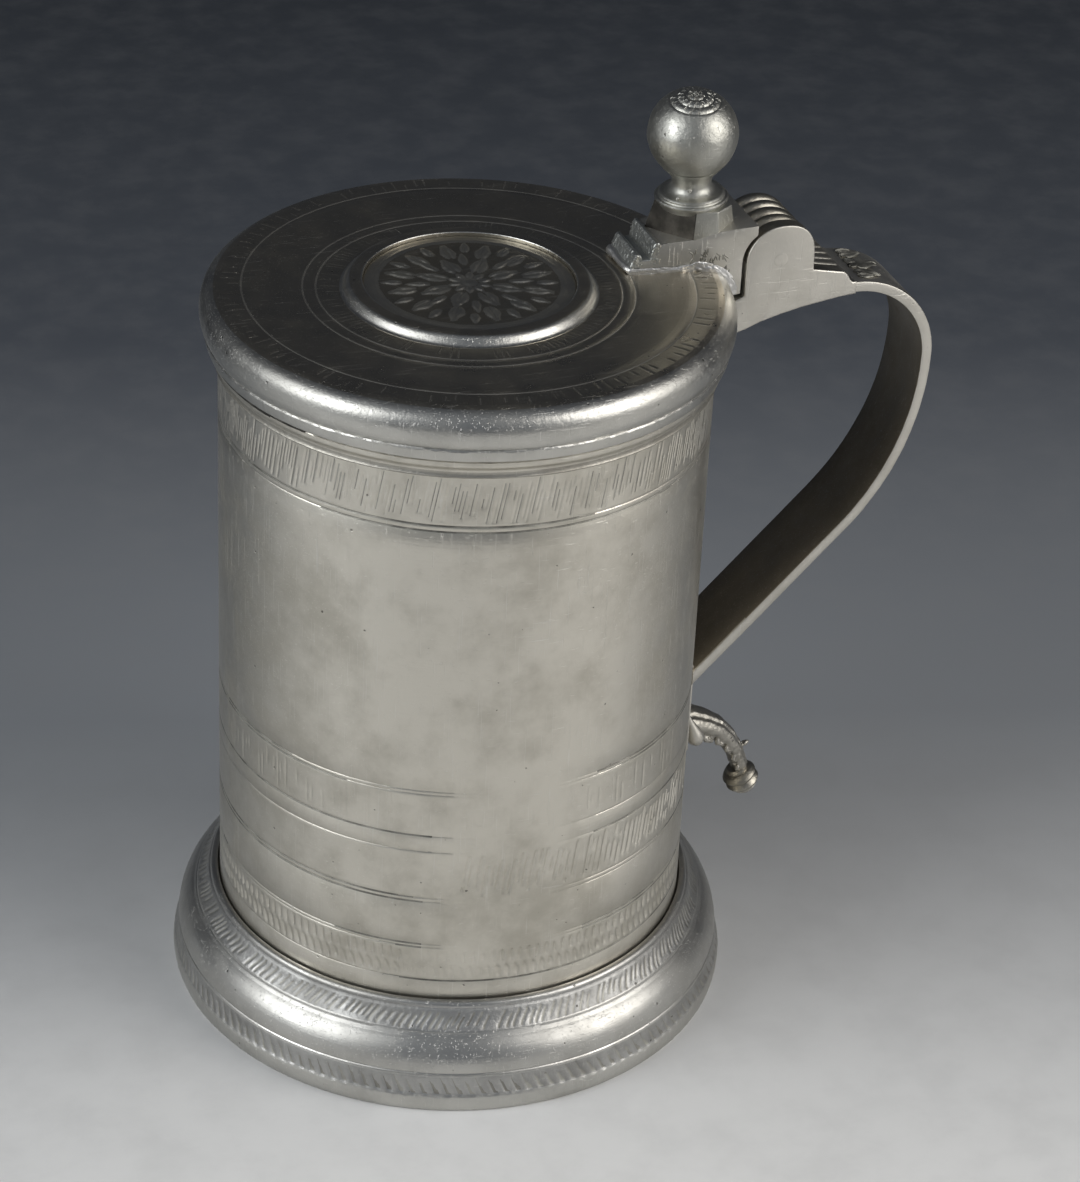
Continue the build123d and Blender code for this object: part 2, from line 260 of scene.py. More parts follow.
relief_pewter = pewter("relief_pewter", (0.64, 0.61, 0.54), (0.42, 0.4, 0.345), 0.32, 0.8, 0.6, 0.3, grain=1)
ball_pewter = pewter("ball_pewter", (0.50, 0.495, 0.455), (0.36, 0.355, 0.32), 0.38, 0.8, 0.9, 0.9, grain=1.6)
rough_pewter = pewter("rough_pewter", (0.62, 0.63, 0.6), (0.34, 0.345, 0.325), 0.4, 0.9, 0.9, 0.2, grain=3.0)
solder_pewter = pewter("solder_pewter", (0.74, 0.73, 0.71), (0.5, 0.49, 0.47), 0.38, 0.7, 0.6, 0.2, grain=3.0)
inside_pewter = pewter("inside_pewter", (0.44, 0.43, 0.4), (0.3, 0.29, 0.265), 0.45, 0.45, 0.5, 0.3, "round")
rubbed_pewter = pewter("rubbed_pewter", (0.56, 0.53, 0.47), (0.43, 0.41, 0.36), 0.42, 0.6, 0.2, 0.2)
hatch_grime = grime("hatch_grime", (0.27, 0.26, 0.235), (0.43, 0.42, 0.38), 0.48)
line_grime = grime("line_grime", (0.17, 0.165, 0.145), (0.36, 0.35, 0.31), 0.48)
# The near-black finish below is painted shade: in the gap under the lid and on a shaded facet of the pedestal
deep_grime = grime("deep_grime", (0.05, 0.047, 0.042), (0.13, 0.12, 0.105), 0.5)


def close_mesh():
    bpy.ops.object.mode_set(mode="OBJECT")


def clear_bench():
    if bpy.context.object and bpy.context.object.mode != "OBJECT":
        close_mesh()
    bpy.ops.object.select_all(action="DESELECT")


def take(piece):
    """Makes one piece the only one in hand."""
    clear_bench()
    piece.select_set(True)
    bpy.context.view_layer.objects.active = piece


def named(name):
    piece = bpy.context.object
    piece.name = name
    piece.data.name = name
    return piece


def open_mesh(kind="VERT"):
    bpy.context.tool_settings.mesh_select_mode = (kind == "VERT", kind == "EDGE", kind == "FACE")
    bpy.ops.object.mode_set(mode="EDIT")


def select_all():
    bpy.ops.mesh.select_all(action="SELECT")


def rows_of(parts, what):
    flat = np.empty(3 * len(parts), np.float32)
    parts.foreach_get(what, flat)
    return flat.reshape(-1, 3)


def places(piece, kind):
    """Every vertex, or the middle of every face, as rows of x, y, z."""
    close_mesh()
    return rows_of(piece.data.vertices, "co") if kind == "VERT" else rows_of(piece.data.polygons, "center")


def facing(piece):
    """Every face's normal as rows of x, y, z."""
    close_mesh()
    return rows_of(piece.data.polygons, "normal")


def pick(piece, kind, chosen):
    """Selects the chosen vertices or faces and opens the mesh on them."""
    close_mesh()
    mesh = piece.data
    for group, parts in (("VERT", mesh.vertices), ("EDGE", mesh.edges), ("FACE", mesh.polygons)):
        marks = np.asarray(chosen, bool) if group == kind else np.zeros(len(parts), bool)
        parts.foreach_set("select", marks)
    open_mesh(kind)


def between(values, low, high):
    return (values > low) & (values < high)


def far_out(spots):
    return np.hypot(spots[:, 0], spots[:, 1])


def height(spots):
    return spots[:, 2]


def way_round(spots):
    """Each place's direction round the object in degrees, 0 at the handle."""
    return np.degrees(np.arctan2(spots[:, 1], spots[:, 0]))


def from_pin(spots):
    return np.hypot(spots[:, 0] - pin_x, spots[:, 2] - pin_z)


def shift(way):
    bpy.ops.transform.translate(value=way)


def stretch(scale, middle=(0, 0, 0)):
    bpy.ops.transform.resize(value=scale, center_override=middle)


def pull_edges(way):
    bpy.ops.mesh.extrude_edges_move(TRANSFORM_OT_translate={"value": way})


def pull_face(way):
    """Closes the line in hand to a face and draws it out to a solid."""
    bpy.ops.mesh.edge_face_add()
    bpy.ops.mesh.extrude_region_move(TRANSFORM_OT_translate={"value": way})


def draw(name, points):
    """A line from point to point, started from a plane drawn together to one vertex."""
    clear_bench()
    bpy.ops.mesh.primitive_plane_add(size=mm)
    piece = named(name)
    open_mesh()
    select_all()
    bpy.ops.mesh.merge(type="CENTER")
    shift(points[0])
    for here, there in zip(points, points[1:]):
        bpy.ops.mesh.extrude_vertices_move(TRANSFORM_OT_translate={"value": Vector(there) - Vector(here)})
    select_all()
    return piece


def clean_up():
    select_all()
    bpy.ops.mesh.remove_doubles(threshold=0.001 * mm)
    bpy.ops.mesh.normals_make_consistent(inside=False)


def close_ends():
    select_all()
    bpy.ops.mesh.fill_holes(sides=0)
    clean_up()


def saw(spot, way):
    """Cuts off what lies beyond a plane and closes the cut."""
    select_all()
    bpy.ops.mesh.bisect(plane_co=spot, plane_no=way, use_fill=True, clear_outer=True)
    clean_up()


def put(piece, spot, turned=(0, 0, 0), scale=(1, 1, 1)):
    """Sets a piece in place and fixes the place in its mesh."""
    take(piece)
    piece.location = spot
    piece.rotation_euler = turned
    piece.scale = scale
    bpy.ops.object.transform_apply(location=True, rotation=True, scale=True)
    return piece


def work(piece, kind, **settings):
    """Adds a modifier with its settings to a piece and applies it."""
    take(piece)
    bpy.ops.object.modifier_add(type=kind)
    tool = piece.modifiers[-1]
    for key, value in settings.items():
        setattr(tool, key, value)
    bpy.ops.object.modifier_apply(modifier=tool.name)


def turn(name, profile, columns, spot=(0, 0, 0), axis="Z"):
    """Turns a profile of (radius, place along the axis) points, as on a lathe, and sets it in place."""
    piece = draw(name, [(r, 0, along) if axis == "Z" else (r, along, 0) for r, along in profile])
    clean_up()
    work(piece, "SCREW", axis=axis, angle=full_turn, steps=columns, render_steps=columns,
         use_merge_vertices=True, merge_threshold=0.001 * mm)
    open_mesh()
    clean_up()
    return put(piece, spot)


def slab(name, points, thick, middle_y=0.0):
    """A flat outline of (x, z) points made into a slab that is thick along Y."""
    piece = draw(name, [(x, 0, z) for x, z in points])
    shift((0, middle_y - thick / 2, 0))
    pull_face((0, thick, 0))
    close_ends()
    return piece


def round_edges(piece, width, segments, angle):
    work(piece, "BEVEL", width=width, segments=segments, limit_method="ANGLE",
         angle_limit=math.radians(angle))


def dent(piece, amount, size, level=1.0):
    """Slight unevenness of hand work, inwards unless the level is lower."""
    swell = bpy.data.textures.new(piece.name + "_dents", "CLOUDS")
    swell.noise_scale = size
    swell.noise_depth = 2
    work(piece, "DISPLACE", texture=swell, strength=amount, mid_level=level)


def cast(piece, grain, amount, size):
    """Gives a piece an even skin of small faces and the lumpy surface of a sand casting."""
    work(piece, "REMESH", mode="VOXEL", voxel_size=grain)
    dent(piece, amount, size, 0.5)
    return piece


def soften(piece, chosen, repeat):
    """Rubs the chosen vertices smooth, as years of polishing do."""
    pick(piece, "VERT", chosen)
    bpy.ops.mesh.vertices_smooth(factor=0.5, repeat=repeat)
    close_mesh()


def nick(piece, chosen, amount, seed, drawn_in=1.0):
    """Knocks the chosen vertices about a little, and draws them in so that none stands proud."""
    pick(piece, "VERT", chosen)
    bpy.ops.transform.vertex_random(offset=amount, seed=seed)
    stretch((drawn_in, drawn_in, 1))


def twist(piece, angle, rows):
    """Leans the upright cuts of a band by turning what is above it."""
    take(piece)
    low, high = rows[0], rows[-1]
    heights = height(places(piece, "VERT"))
    bottom, top = float(heights.min()), float(heights.max())
    work(piece, "SIMPLE_DEFORM", deform_method="TWIST", deform_axis="Z", angle=angle,
         limits=((low - bottom) / (top - bottom), (high - bottom) / (top - bottom)))
    put(piece, (0, 0, 0), (0, 0, -angle * low / (high - low)))


def join(pieces, name):
    take(pieces[0])
    for piece in pieces:
        piece.select_set(True)
    bpy.ops.object.join()
    return named(name)


def copy_of(piece):
    take(piece)
    bpy.ops.object.duplicate()
    return bpy.context.object


def fill_in(piece, finish_index):
    """Gives the faces in hand the finish of that number on the piece."""
    piece.active_material_index = finish_index
    bpy.ops.object.material_slot_assign()
    close_mesh()


def coat(piece, finish, chosen=None):
    """Gives the whole piece, or its chosen faces, a finish."""
    take(piece)
    piece.data.materials.append(finish)
    if chosen is not None:
        pick(piece, "FACE", chosen)
        fill_in(piece, len(piece.data.materials) - 1)


def done(piece, body, node, angle):
    take(piece)
    bpy.ops.object.shade_smooth_by_angle(angle=math.radians(angle))
    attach(piece, body)
    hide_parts(node)


def even(first, last, steps):
    return [first + (last - first) * i / steps for i in range(steps + 1)]


def in_mm(values):
    return [value * mm for value in values]


def stepped(x, z, steps):
    """Points given in millimetres out and up from a corner."""
    return [(x + out * mm, z + up * mm) for out, up in steps]


def curve(start, end, swell, steps):
    """Points of a shallow arc from start to end in (radius, height), swelling to its left."""
    run = Vector(end) - Vector(start)
    side = Vector((-run.y, run.x)).normalized() * swell
    return [Vector(start) + run * t + side * 4 * t * (1 - t) for t in even(0, 1, steps)]


def round_pin(r, first, last, steps):
    """Points of an arc round the hinge pin, between two angles in degrees."""
    return [(pin_x + r * math.cos(a), pin_z + r * math.sin(a))
            for a in even(math.radians(first), math.radians(last), steps)]


def scored(stops, lines, half=line_half, depth=line_depth):
    """Stops along a plain surface with a V cut at each line, as (place, depth) in order."""
    marks = [(stop, 0) for stop in stops]
    for line in lines:
        marks += [(line - half, 0), (line, depth), (line + half, 0)]
    return sorted(marks)


def columns_of(spots, columns):
    """The lathe column that each place is in."""
    angle = np.arctan2(spots[:, 1], spots[:, 0]) % full_turn
    return np.minimum((angle / full_turn * columns).astype(int), columns - 1)


def heading(column, columns):
    """A column's direction round the object in degrees, from -180 to 180, 0 at the handle."""
    return (column / columns * 360 + 180) % 360 - 180


def cut(piece, strokes, edges, along, surface, border, depth, finish_index=0):
    """Cuts a band's strokes: a table of lathe columns and rows says which faces are sunk."""
    take(piece)
    columns, rows = strokes.shape
    spots = places(piece, "FACE")
    row = np.searchsorted(np.array(edges), along(spots)) - 1
    inside = (row >= 0) & (row < rows) & surface(spots)
    pick(piece, "FACE", inside & strokes[columns_of(spots, columns), np.clip(row, 0, rows - 1)])
    bpy.ops.mesh.inset(thickness=border * mm, depth=-depth * mm, use_even_offset=True)
    fill_in(piece, finish_index)


def fine_strokes(seed, columns, rows, steps, ragged, kept):
    """Upright strokes at uneven steps with ragged ends, some broken in two and some missing."""
    rng = random.Random(seed)
    strokes = np.zeros((columns, rows), bool)
    column = 0
    while column < columns:
        if rng.random() < kept(heading(column, columns)):
            strokes[column, rng.choice(ragged):rows - rng.choice(ragged)] = True
            if rows > 6 and rng.random() < 0.5:
                strokes[column, rng.randrange(rows)] = False
        column += rng.choice(steps)
    return strokes


def short_strokes(seed, columns, rows, kept):
    """Short upright strokes scattered over a band, up to two in a column."""
    rng = random.Random(seed)
    strokes = np.zeros((columns, rows), bool)
    column = 0
    while column < columns:
        for stroke in range(2):
            if rng.random() < kept(heading(column, columns)):
                length = rng.choice((3, 4, 5, 6, 8, 10))
                start = rng.randrange(rows - length + 1)
                strokes[column, start:start + length] = True
        column += rng.choice((2, 2, 2, 3))
    return strokes


def sector(first, last, inside, outside):
    """The chance that a stroke is kept, one between two headings and another elsewhere."""
    return lambda way: inside if first < way < last else outside


def some_columns(seed, columns, share):
    """A column of the table that keeps about a share of the strokes."""
    rng = random.Random(seed)
    return np.array([rng.random() < share for column in range(columns)])[:, None]


def doubled(strokes):
    """The same strokes, two columns wide."""
    return strokes | np.roll(strokes, 1, axis=0)


# Drum: turned wall with scored lines and engraved bands
upper_rows = in_mm(even(149.3, 160.2, 12))
worn_rows = in_mm(even(69.6, 79.3, 7))
right_rows = in_mm(even(52.8, 63.9, 8))
gouge_rows = in_mm(even(29.8, 37.6, 9))
plain_rows = in_mm(even(86, 142, 7) + [45])
drum_lines = in_mm((148.6, 147.2, 80.9, 80.0, 68.9, 64.6, 52.0, 50.9, 39.1, 38.2, 29.2))


def on_drum(spots):
    return far_out(spots) > drum_r - 0.03 * mm


def rubbed_side(spots, spread):
    """The near right of the drum's lower half, where handling has rubbed the turned lines away."""
    return (abs(way_round(spots) + 95) < spread) & between(height(spots), 37 * mm, 82 * mm)


def worn_kept(way):
    return 0.3 + 0.4 * math.sin(math.radians(way + 110)) ** 2


outside = scored(upper_rows + worn_rows + right_rows + gouge_rows + plain_rows, drum_lines)
drum_profile = [(bore_r, drum_low.z), (bore_r, drum_high.z), (drum_r, drum_high.z)]
drum_profile += [(drum_r - deep, z) for z, deep in reversed(outside)]
drum_profile += [(drum_r, 25 * mm), (drum_r, drum_low.z), (bore_r, drum_low.z)]
drum = turn("drum_body", drum_profile, drum_columns)
coat(drum, drum_pewter)
coat(drum, hatch_grime)
spots = places(drum, "FACE")
in_line = between(far_out(spots), drum_r - 0.3 * mm, drum_r - 0.04 * mm)
faded = np.sin(2.3 * np.radians(way_round(spots)) + 700 * height(spots)) > 0.2
coat(drum, line_grime, in_line & ~faded & ~rubbed_side(spots, 20))
coat(drum, inside_pewter, far_out(spots) < drum_r - 0.8 * wall)
filled = 1 + line_depth / drum_r / 3
for spread in (10, 15, 20):
    spots = places(drum, "VERT")
    sunk = between(far_out(spots), drum_r - 0.3 * mm, drum_r - 0.01 * mm)
    pick(drum, "VERT", sunk & rubbed_side(spots, spread))
    stretch((filled, filled, 1))
upper = short_strokes(3, drum_columns, 12, sector(-112, -98, 0.75, 0.95))
strong = some_columns(4, drum_columns, 0.5)
cut(drum, upper & strong, upper_rows, height, on_drum, 0.1, 0.13, 1)
cut(drum, upper & ~strong, upper_rows, height, on_drum, 0.1, 0.12)
worn = fine_strokes(5, drum_columns, 7, (2, 3, 4), (0, 1, 2, 3), worn_kept)
cut(drum, worn, worn_rows, height, on_drum, 0.13, 0.09)
right = fine_strokes(7, drum_columns, 8, (3, 4, 4), (0, 1, 2), sector(-108, 115, 0.95, 0))
cut(drum, doubled(right), right_rows, height, on_drum, 0.2, 0.27)
# Fish-scale gouges: a wide scoop below and a narrow one above, between the scoops
gouges = np.zeros((drum_columns, 9), bool)
worn_gouges = np.zeros((drum_columns, 9), bool)
rng = random.Random(11)
for column in range(0, drum_columns, 5):
    table = worn_gouges if -122 < heading(column, drum_columns) < -98 else gouges
    end = rng.choice((0, 0, 1))
    table[column, 1:4] = True
    table[column + 1, end:4] = True
    table[column + 2, end:3] = True
    table[column + 3, 5:8] = True
    table[column + 4, 5:9 - end] = True
cut(drum, gouges, gouge_rows, height, on_drum, 0.25, 0.38)
cut(drum, worn_gouges & some_columns(12, drum_columns, 0.9), gouge_rows, height, on_drum, 0.25, 0.2)
spots = places(drum, "VERT")
outer = far_out(spots) > drum_r - 0.5 * mm
for rows, times in ((upper_rows, 1), (worn_rows, 1), (right_rows, 1), (gouge_rows, 2)):
    soften(drum, outer & between(height(spots), rows[0] - 0.1 * mm, rows[-1] + 0.1 * mm), times)
twist(drum, 0.035, upper_rows)
twist(drum, -0.012, gouge_rows)
twist(drum, 0.03, right_rows)
dent(drum, 0.14 * mm, 18 * mm)
done(drum, "vessel", "drum", 40)

# Floor of the drum keeps its shape and takes the inside finish
floor_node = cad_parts["drum_floor"]
floor_node.data.materials.clear()
floor_node.data.materials.append(inside_pewter)


# Foot: flared ring with a bulge, two hatched bands and a worn standing edge
def on_edge(spots):
    return far_out(spots) > foot_r - 1.6 * mm


def on_wedges(spots, spare):
    return (far_out(spots) > foot_r - 2 * mm) & between(height(spots), 4.6 * mm - spare, 9.4 * mm + spare)


def on_shoulder(spots):
    return between(far_out(spots), drum_r + 2 * mm, foot_r - 5.5 * mm)


standing = stepped(foot_r, 0, ((-3.2, 0), (-0.9, 0), (-0.15, 0.9), (0, 2.2), (-0.05, 4.0), (-0.3, 4.4)))
wedge_band = curve((foot_r - 0.4 * mm, 4.7 * mm), (foot_r - 1.3 * mm, 9.4 * mm), 0.1 * mm, 6)
pair_low = stepped(foot_r, 0, ((-1.5, 9.6), (-1.33, 9.85), (-1.55, 10.1), (-1.38, 10.35)))
bulge = curve((foot_r - 1.38 * mm, 10.6 * mm), (foot_r - 4.9 * mm, 17.5 * mm), -0.75 * mm, 10)
pair_high = stepped(foot_r, 0, ((-5.3, 17.8), (-5.42, 18.1), (-5.8, 18.35), (-5.9, 18.7)))
fine_band = curve((foot_r - 6.05 * mm, 18.95 * mm), (drum_r + 2.75 * mm, 22.6 * mm), 0.25 * mm, 5)
bead = stepped(drum_r, 0, ((2.5, 22.9), (2.2, 23.1), (2.15, 23.7), (1.8, 24.2)))
bead += stepped(drum_r, foot_top, ((1.2, 0), (0.45, -0.15), (0.1, -0.6), (0, -1.5)))
under = stepped(drum_r, 0, ((0, 20), (-5, 20), (-5, 17), (4, 17))) + standing[:1]
foot_profile = standing + wedge_band + pair_low + bulge + pair_high + fine_band + bead + under
wedge_rows = [z for r, z in wedge_band]
shoulder_rows = [z for r, z in fine_band]
foot = turn("foot_skirt_body", foot_profile, foot_columns)
coat(foot, foot_pewter)
coat(foot, hatch_grime)
spots = places(foot, "FACE")
coat(foot, edge_pewter, between(height(spots), 0.1 * mm, 4.5 * mm) & (far_out(spots) > foot_r - 1.2 * mm))
# The groove where the top of the foot meets the drum is painted near black
coat(foot, deep_grime, (height(spots) > foot_top - 1.6 * mm) & (far_out(spots) < drum_r + 0.5 * mm))
coat(foot, band_pewter, on_wedges(spots, 0) | (on_shoulder(spots) & (height(spots) > 18.9 * mm)))
wedges = np.zeros((foot_columns, 6), bool)
rng = random.Random(13)
for column in range(0, foot_columns, 5):
    if rng.random() < 0.94:
        wedges[column, :4 + rng.choice((0, 1, 1, 2))] = True
        wedges[column + 1, :3 + rng.choice((0, 1, 1))] = True
        wedges[column + 2, :1 + rng.choice((0, 1))] = True
cut(foot, wedges, wedge_rows, height, on_edge, 0.22, 0.24, 1)
shoulder = fine_strokes(17, foot_columns, 5, (3, 4, 4), (0, 0, 1), sector(-118, -95, 0.88, 0.95))
cut(foot, doubled(shoulder), shoulder_rows, height, on_shoulder, 0.2, 0.09, 1)
spots = places(foot, "VERT")
soften(foot, on_wedges(spots, 0.1 * mm), 3)
soften(foot, on_shoulder(spots) & between(height(spots), 18.8 * mm, 22.7 * mm), 1)
twist(foot, -0.028, wedge_rows)
twist(foot, 0.015, shoulder_rows)
twist(foot, 0.018, shoulder_rows[1:-1])
spots = places(foot, "VERT")
knocked = (far_out(spots) > foot_r - 1.1 * mm) & between(height(spots), 0.1 * mm, 4.1 * mm)
nick(foot, knocked, 0.11 * mm, 3, 0.9985)
dent(foot, 0.12 * mm, 15 * mm)
done(foot, "vessel", "foot_skirt", 40)

# Lip: hollow moulding round the mouth with a nicked edge
lip_h = lip_top - lip_base
lip_profile = [(bore_r, lip_base), (bore_r, lip_top)]
lip_profile += stepped(lip_r, lip_top, ((-0.5, 0), (0, -0.4), (0, -0.65), (0, -0.9)))
lip_profile += [(lip_r, lip_base + 0.72 * lip_h), (lip_r - 0.15 * mm, lip_base + 0.66 * lip_h)]
lip_profile += curve((lip_r - 0.4 * mm, lip_base + 0.6 * lip_h),
                     (drum_r + 0.75 * mm, lip_base + 0.15 * lip_h), -0.35 * mm, 6)
lip_profile += [(drum_r + 0.95 * mm, lip_base + 0.08 * lip_h), (drum_r + 0.7 * mm, lip_base), lip_profile[0]]
lip = turn("lip_ring", lip_profile, 420)
nick(lip, far_out(places(lip, "VERT")) > lip_r - 0.2 * mm, 0.06 * mm, 4, 0.9992)
coat(lip, drum_pewter)
spots = places(lip, "FACE")
# The lower hollow of the lip takes the darker cast finish as painted shade
coat(lip, cast_pewter, height(spots) < lip_base + 0.3 * lip_h)
# On the left the top of the lip is painted near black: a painted shadow for the dark gap under the lid
way = way_round(spots) % 360
gap_shadow = (abs(way - 178) < 36) & (height(spots) > lip_top - 0.65 * mm)
gap_shadow |= (abs(way - 176) < 28) & (height(spots) > lip_top - 0.9 * mm)
coat(lip, deep_grime, gap_shadow & (far_out(spots) > lip_r - 0.35 * mm))
dent(lip, 0.1 * mm, 12 * mm)
done(lip, "vessel", "lip_moulding", 40)

# Lid: slightly dished top with scored rings, a ring of ticks, a rolled edge and a narrow flange
dish = 0.6 * mm
dish_r, level_r = 38 * mm, 49.4 * mm
plate_z = lid_z - 2.5 * mm
tick_rows = in_mm(even(50.2, 54.5, 5))
spoke_rows = in_mm(even(28.7, 33.0, 4))
ring_lines = in_mm((33.6, 36.5, 49.8))


def lid_top(r):
    """The height of the lid's top at a radius: level at the edge and lower in the middle."""
    rise = np.clip((r - dish_r) / (level_r - dish_r), 0, 1)
    return lid_z - dish * (1 - rise * rise * (3 - 2 * rise))


def on_lid(spots):
    return height(spots) > lid_z - dish - 0.03 * mm


top_marks = scored(spoke_rows + tick_rows + in_mm((20, 38, 41, 44, 47)), ring_lines, 0.2 * mm, 0.13 * mm)
lid_profile = [(0, lid_top(0))] + [(r, lid_top(r) - deep) for r, deep in top_marks]
lid_profile += curve((lid_r - 4.4 * mm, lid_z - 0.02 * mm), (lid_r, lid_z - 5.2 * mm), 1.32 * mm, 12)
lid_profile += curve((lid_r - 0.02 * mm, lid_z - 5.8 * mm), (lid_r - 1 * mm, lid_z - 8.9 * mm), 0.28 * mm, 6)
lid_profile += stepped(lid_r, lid_z, ((-0.75, -9.15), (-0.75, -9.45), (-1.05, -9.65)))
lid_profile += stepped(lid_r, lid_low.z, ((-1.15, 0.5), (-1.35, 0), (-5.4, 0)))
lid_profile += [(lid_r - 5.4 * mm, plate_z), (lid_r / 2, plate_z), (0, plate_z)]
lid = turn("lid_plate_body", lid_profile, lid_columns)
coat(lid, lid_pewter)
spots = places(lid, "FACE")
in_ring = between(height(spots), lid_z - 1.5 * mm, lid_top(far_out(spots)) - 0.04 * mm)
coat(lid, rubbed_pewter, in_ring & (far_out(spots) < 50.5 * mm))
coat(lid, line_grime)
coat(lid, edge_pewter, (far_out(spots) > lid_r - 3.4 * mm) & (height(spots) < lid_z - 0.4 * mm))
coat(lid, inside_pewter, (height(spots) < plate_z + 0.1 * mm) & (far_out(spots) < lid_r - 5.3 * mm))
bright_ticks = np.zeros((lid_columns, 5), bool)
faint_ticks = np.zeros((lid_columns, 5), bool)
rng = random.Random(19)
for column in range(0, lid_columns - 4, 5):
    way = heading(column, lid_columns)
    at = column + rng.choice((0, 0, 0, 1))
    table = faint_ticks if rng.random() < (0.45 if -150 < way < -72 else 0.2) else bright_ticks
    if rng.random() < 0.88:
        table[at, rng.choice((0, 0, 1, 2)):5 - rng.choice((0, 0, 1, 2))] = True
cut(lid, bright_ticks, tick_rows, far_out, on_lid, 0.16, 0.12, 1)
cut(lid, faint_ticks, tick_rows, far_out, on_lid, 0.16, 0.1)
spokes = fine_strokes(23, lid_columns, 4, (4, 4, 5), (0, 0, 0, 1), sector(-75, 80, 0.95, 0.6))
cut(lid, spokes, spoke_rows, far_out, on_lid, 0.09, 0.06, 2)
spots = places(lid, "VERT")
nick(lid, (far_out(spots) > lid_r - 1.3 * mm) & (height(spots) < lid_z - 8.8 * mm), 0.07 * mm, 8)
dent(lid, 0.12 * mm, 14 * mm)
done(lid, "lid", "lid_plate", 40)

# Bezel: half-round ring round the medallion, stepped out from the medallion and up from the lid's edge
bezel_steps = ((0, 0.3), (0, 1.15), (0, 1.4), (0.12, 1.56), (0.4, 1.62), (1.9, 1.6), (2.9, 1.42),
               (3.45, 1.12), (3.8, 0.7), (4.1, 0.15), (4.35, -0.25), (4.7, -0.5), (5.1, -0.6), (5.1, -1.0),
               (0, -1.0), (0, 0.3))
bezel = turn("bezel_ring", stepped(disc_r, lid_z, bezel_steps), 300)
coat(bezel, edge_pewter)
spots = places(bezel, "FACE")
coat(bezel, lid_pewter, between(far_out(spots), disc_r + 0.5 * mm, disc_r + 2.5 * mm))
# The bezel's inner wall just above the medallion is painted dark: a painted shadow line round the medallion
coat(bezel, dark_pewter, (far_out(spots) < disc_r + 0.05 * mm) & (height(spots) < lid_z + 1.3 * mm))
dent(bezel, 0.1 * mm, 9 * mm)
done(bezel, "lid", "medallion_bezel", 40)


def leaf(name, length, width, thick, seed, spot=(0, 0, 0), turned=(0, 0, 0)):
    """A leaf lying along X from its spot: a flattened ball with a sunk vein, a drawn tip and uneven edges."""
    clear_bench()
    bpy.ops.mesh.primitive_uv_sphere_add(segments=16, ring_count=10, radius=0.5)
    piece = named(name)
    put(piece, (0.5, 0, 0), (0, math.pi / 2, 0))
    put(piece, (0, 0, 0), (0, 0, 0), (length, width, thick))
    spots = places(piece, "VERT")
    pick(piece, "VERT", (abs(spots[:, 1]) < 0.06 * width) & (height(spots) > 0))
    shift((0, 0, -0.4 * thick))
    for share in (0.55, 0.75):
        pick(piece, "VERT", spots[:, 0] > share * length)
        stretch((1, 0.75, 1))
    select_all()
    bpy.ops.transform.vertex_random(offset=0.05 * width, seed=seed)
    return put(piece, spot, turned)


# Medallion: a worn leaf rosette in low relief on a dark disc
disc_z = lid_z + 0.6 * mm
disc_low_z = lid_z - 1.2 * mm
disc_edge_r = disc_r - 0.03 * mm
disc_profile = [(0, disc_z), (0.86 * disc_r, disc_z), (0.89 * disc_r, disc_z + 0.2 * mm),
                (0.92 * disc_r, disc_z), (disc_edge_r, disc_z), (disc_edge_r, disc_low_z), (0, disc_low_z)]
rosette = [turn("medallion_disc", disc_profile, 120)]
# Rings of leaves: how many, where they start, their length and width as shares of the disc, and their turn
leaf_rings = ((12, 0.5, 0.32, 0.15, 0.0), (12, 0.62, 0.22, 0.09, 0.5), (8, 0.2, 0.34, 0.17, 0.25),
              (8, 0.36, 0.26, 0.08, 0.75), (10, 0.08, 0.14, 0.07, 0.0))
for ring, (count, start, length, width, offset) in enumerate(leaf_rings):
    for number in range(count):
        around = full_turn * (number + offset) / count
        spot = (start * disc_r * math.cos(around), start * disc_r * math.sin(around), disc_z - 0.05 * mm)
        rosette.append(leaf("rosette_leaf", length * disc_r, width * disc_r, 1.25 * mm, 20 * ring + number,
                            spot, (0, 0, around)))
boss_profile = [(share * disc_r, up * mm)
                for share, up in ((0, 0.5), (0.04, 0.45), (0.07, 0.2), (0.08, -0.1), (0, -0.1))]
rosette.append(turn("rosette_boss", boss_profile, 20, (0, 0, disc_z)))
disc = cast(join(rosette, "medallion_disc"), 0.24 * mm, 0.12 * mm, 2.5 * mm)
spots = places(disc, "VERT")
soften(disc, (height(spots) > disc_z - 0.2 * mm) & (far_out(spots) < 0.97 * disc_r), 3)
coat(disc, relief_pewter)
spots = places(disc, "FACE")
coat(disc, dark_pewter, (height(spots) < disc_z + 0.08 * mm) & (far_out(spots) < 0.85 * disc_r))
done(disc, "lid", "medallion", 50)

# Plinth: the block under the thumbpiece, with two rough ribs in front and two crowned knuckles behind
deck_end_x = pin_x - 0.73 * knuckle_r
ear_x = pin_x - knuckle_r
ear_low_z = lid_z - 5.7 * mm
front_y = -3 * mm
side_slope = (-half_w - front_y) / (deck_end_x - plinth_x)
skew = math.atan(side_slope)
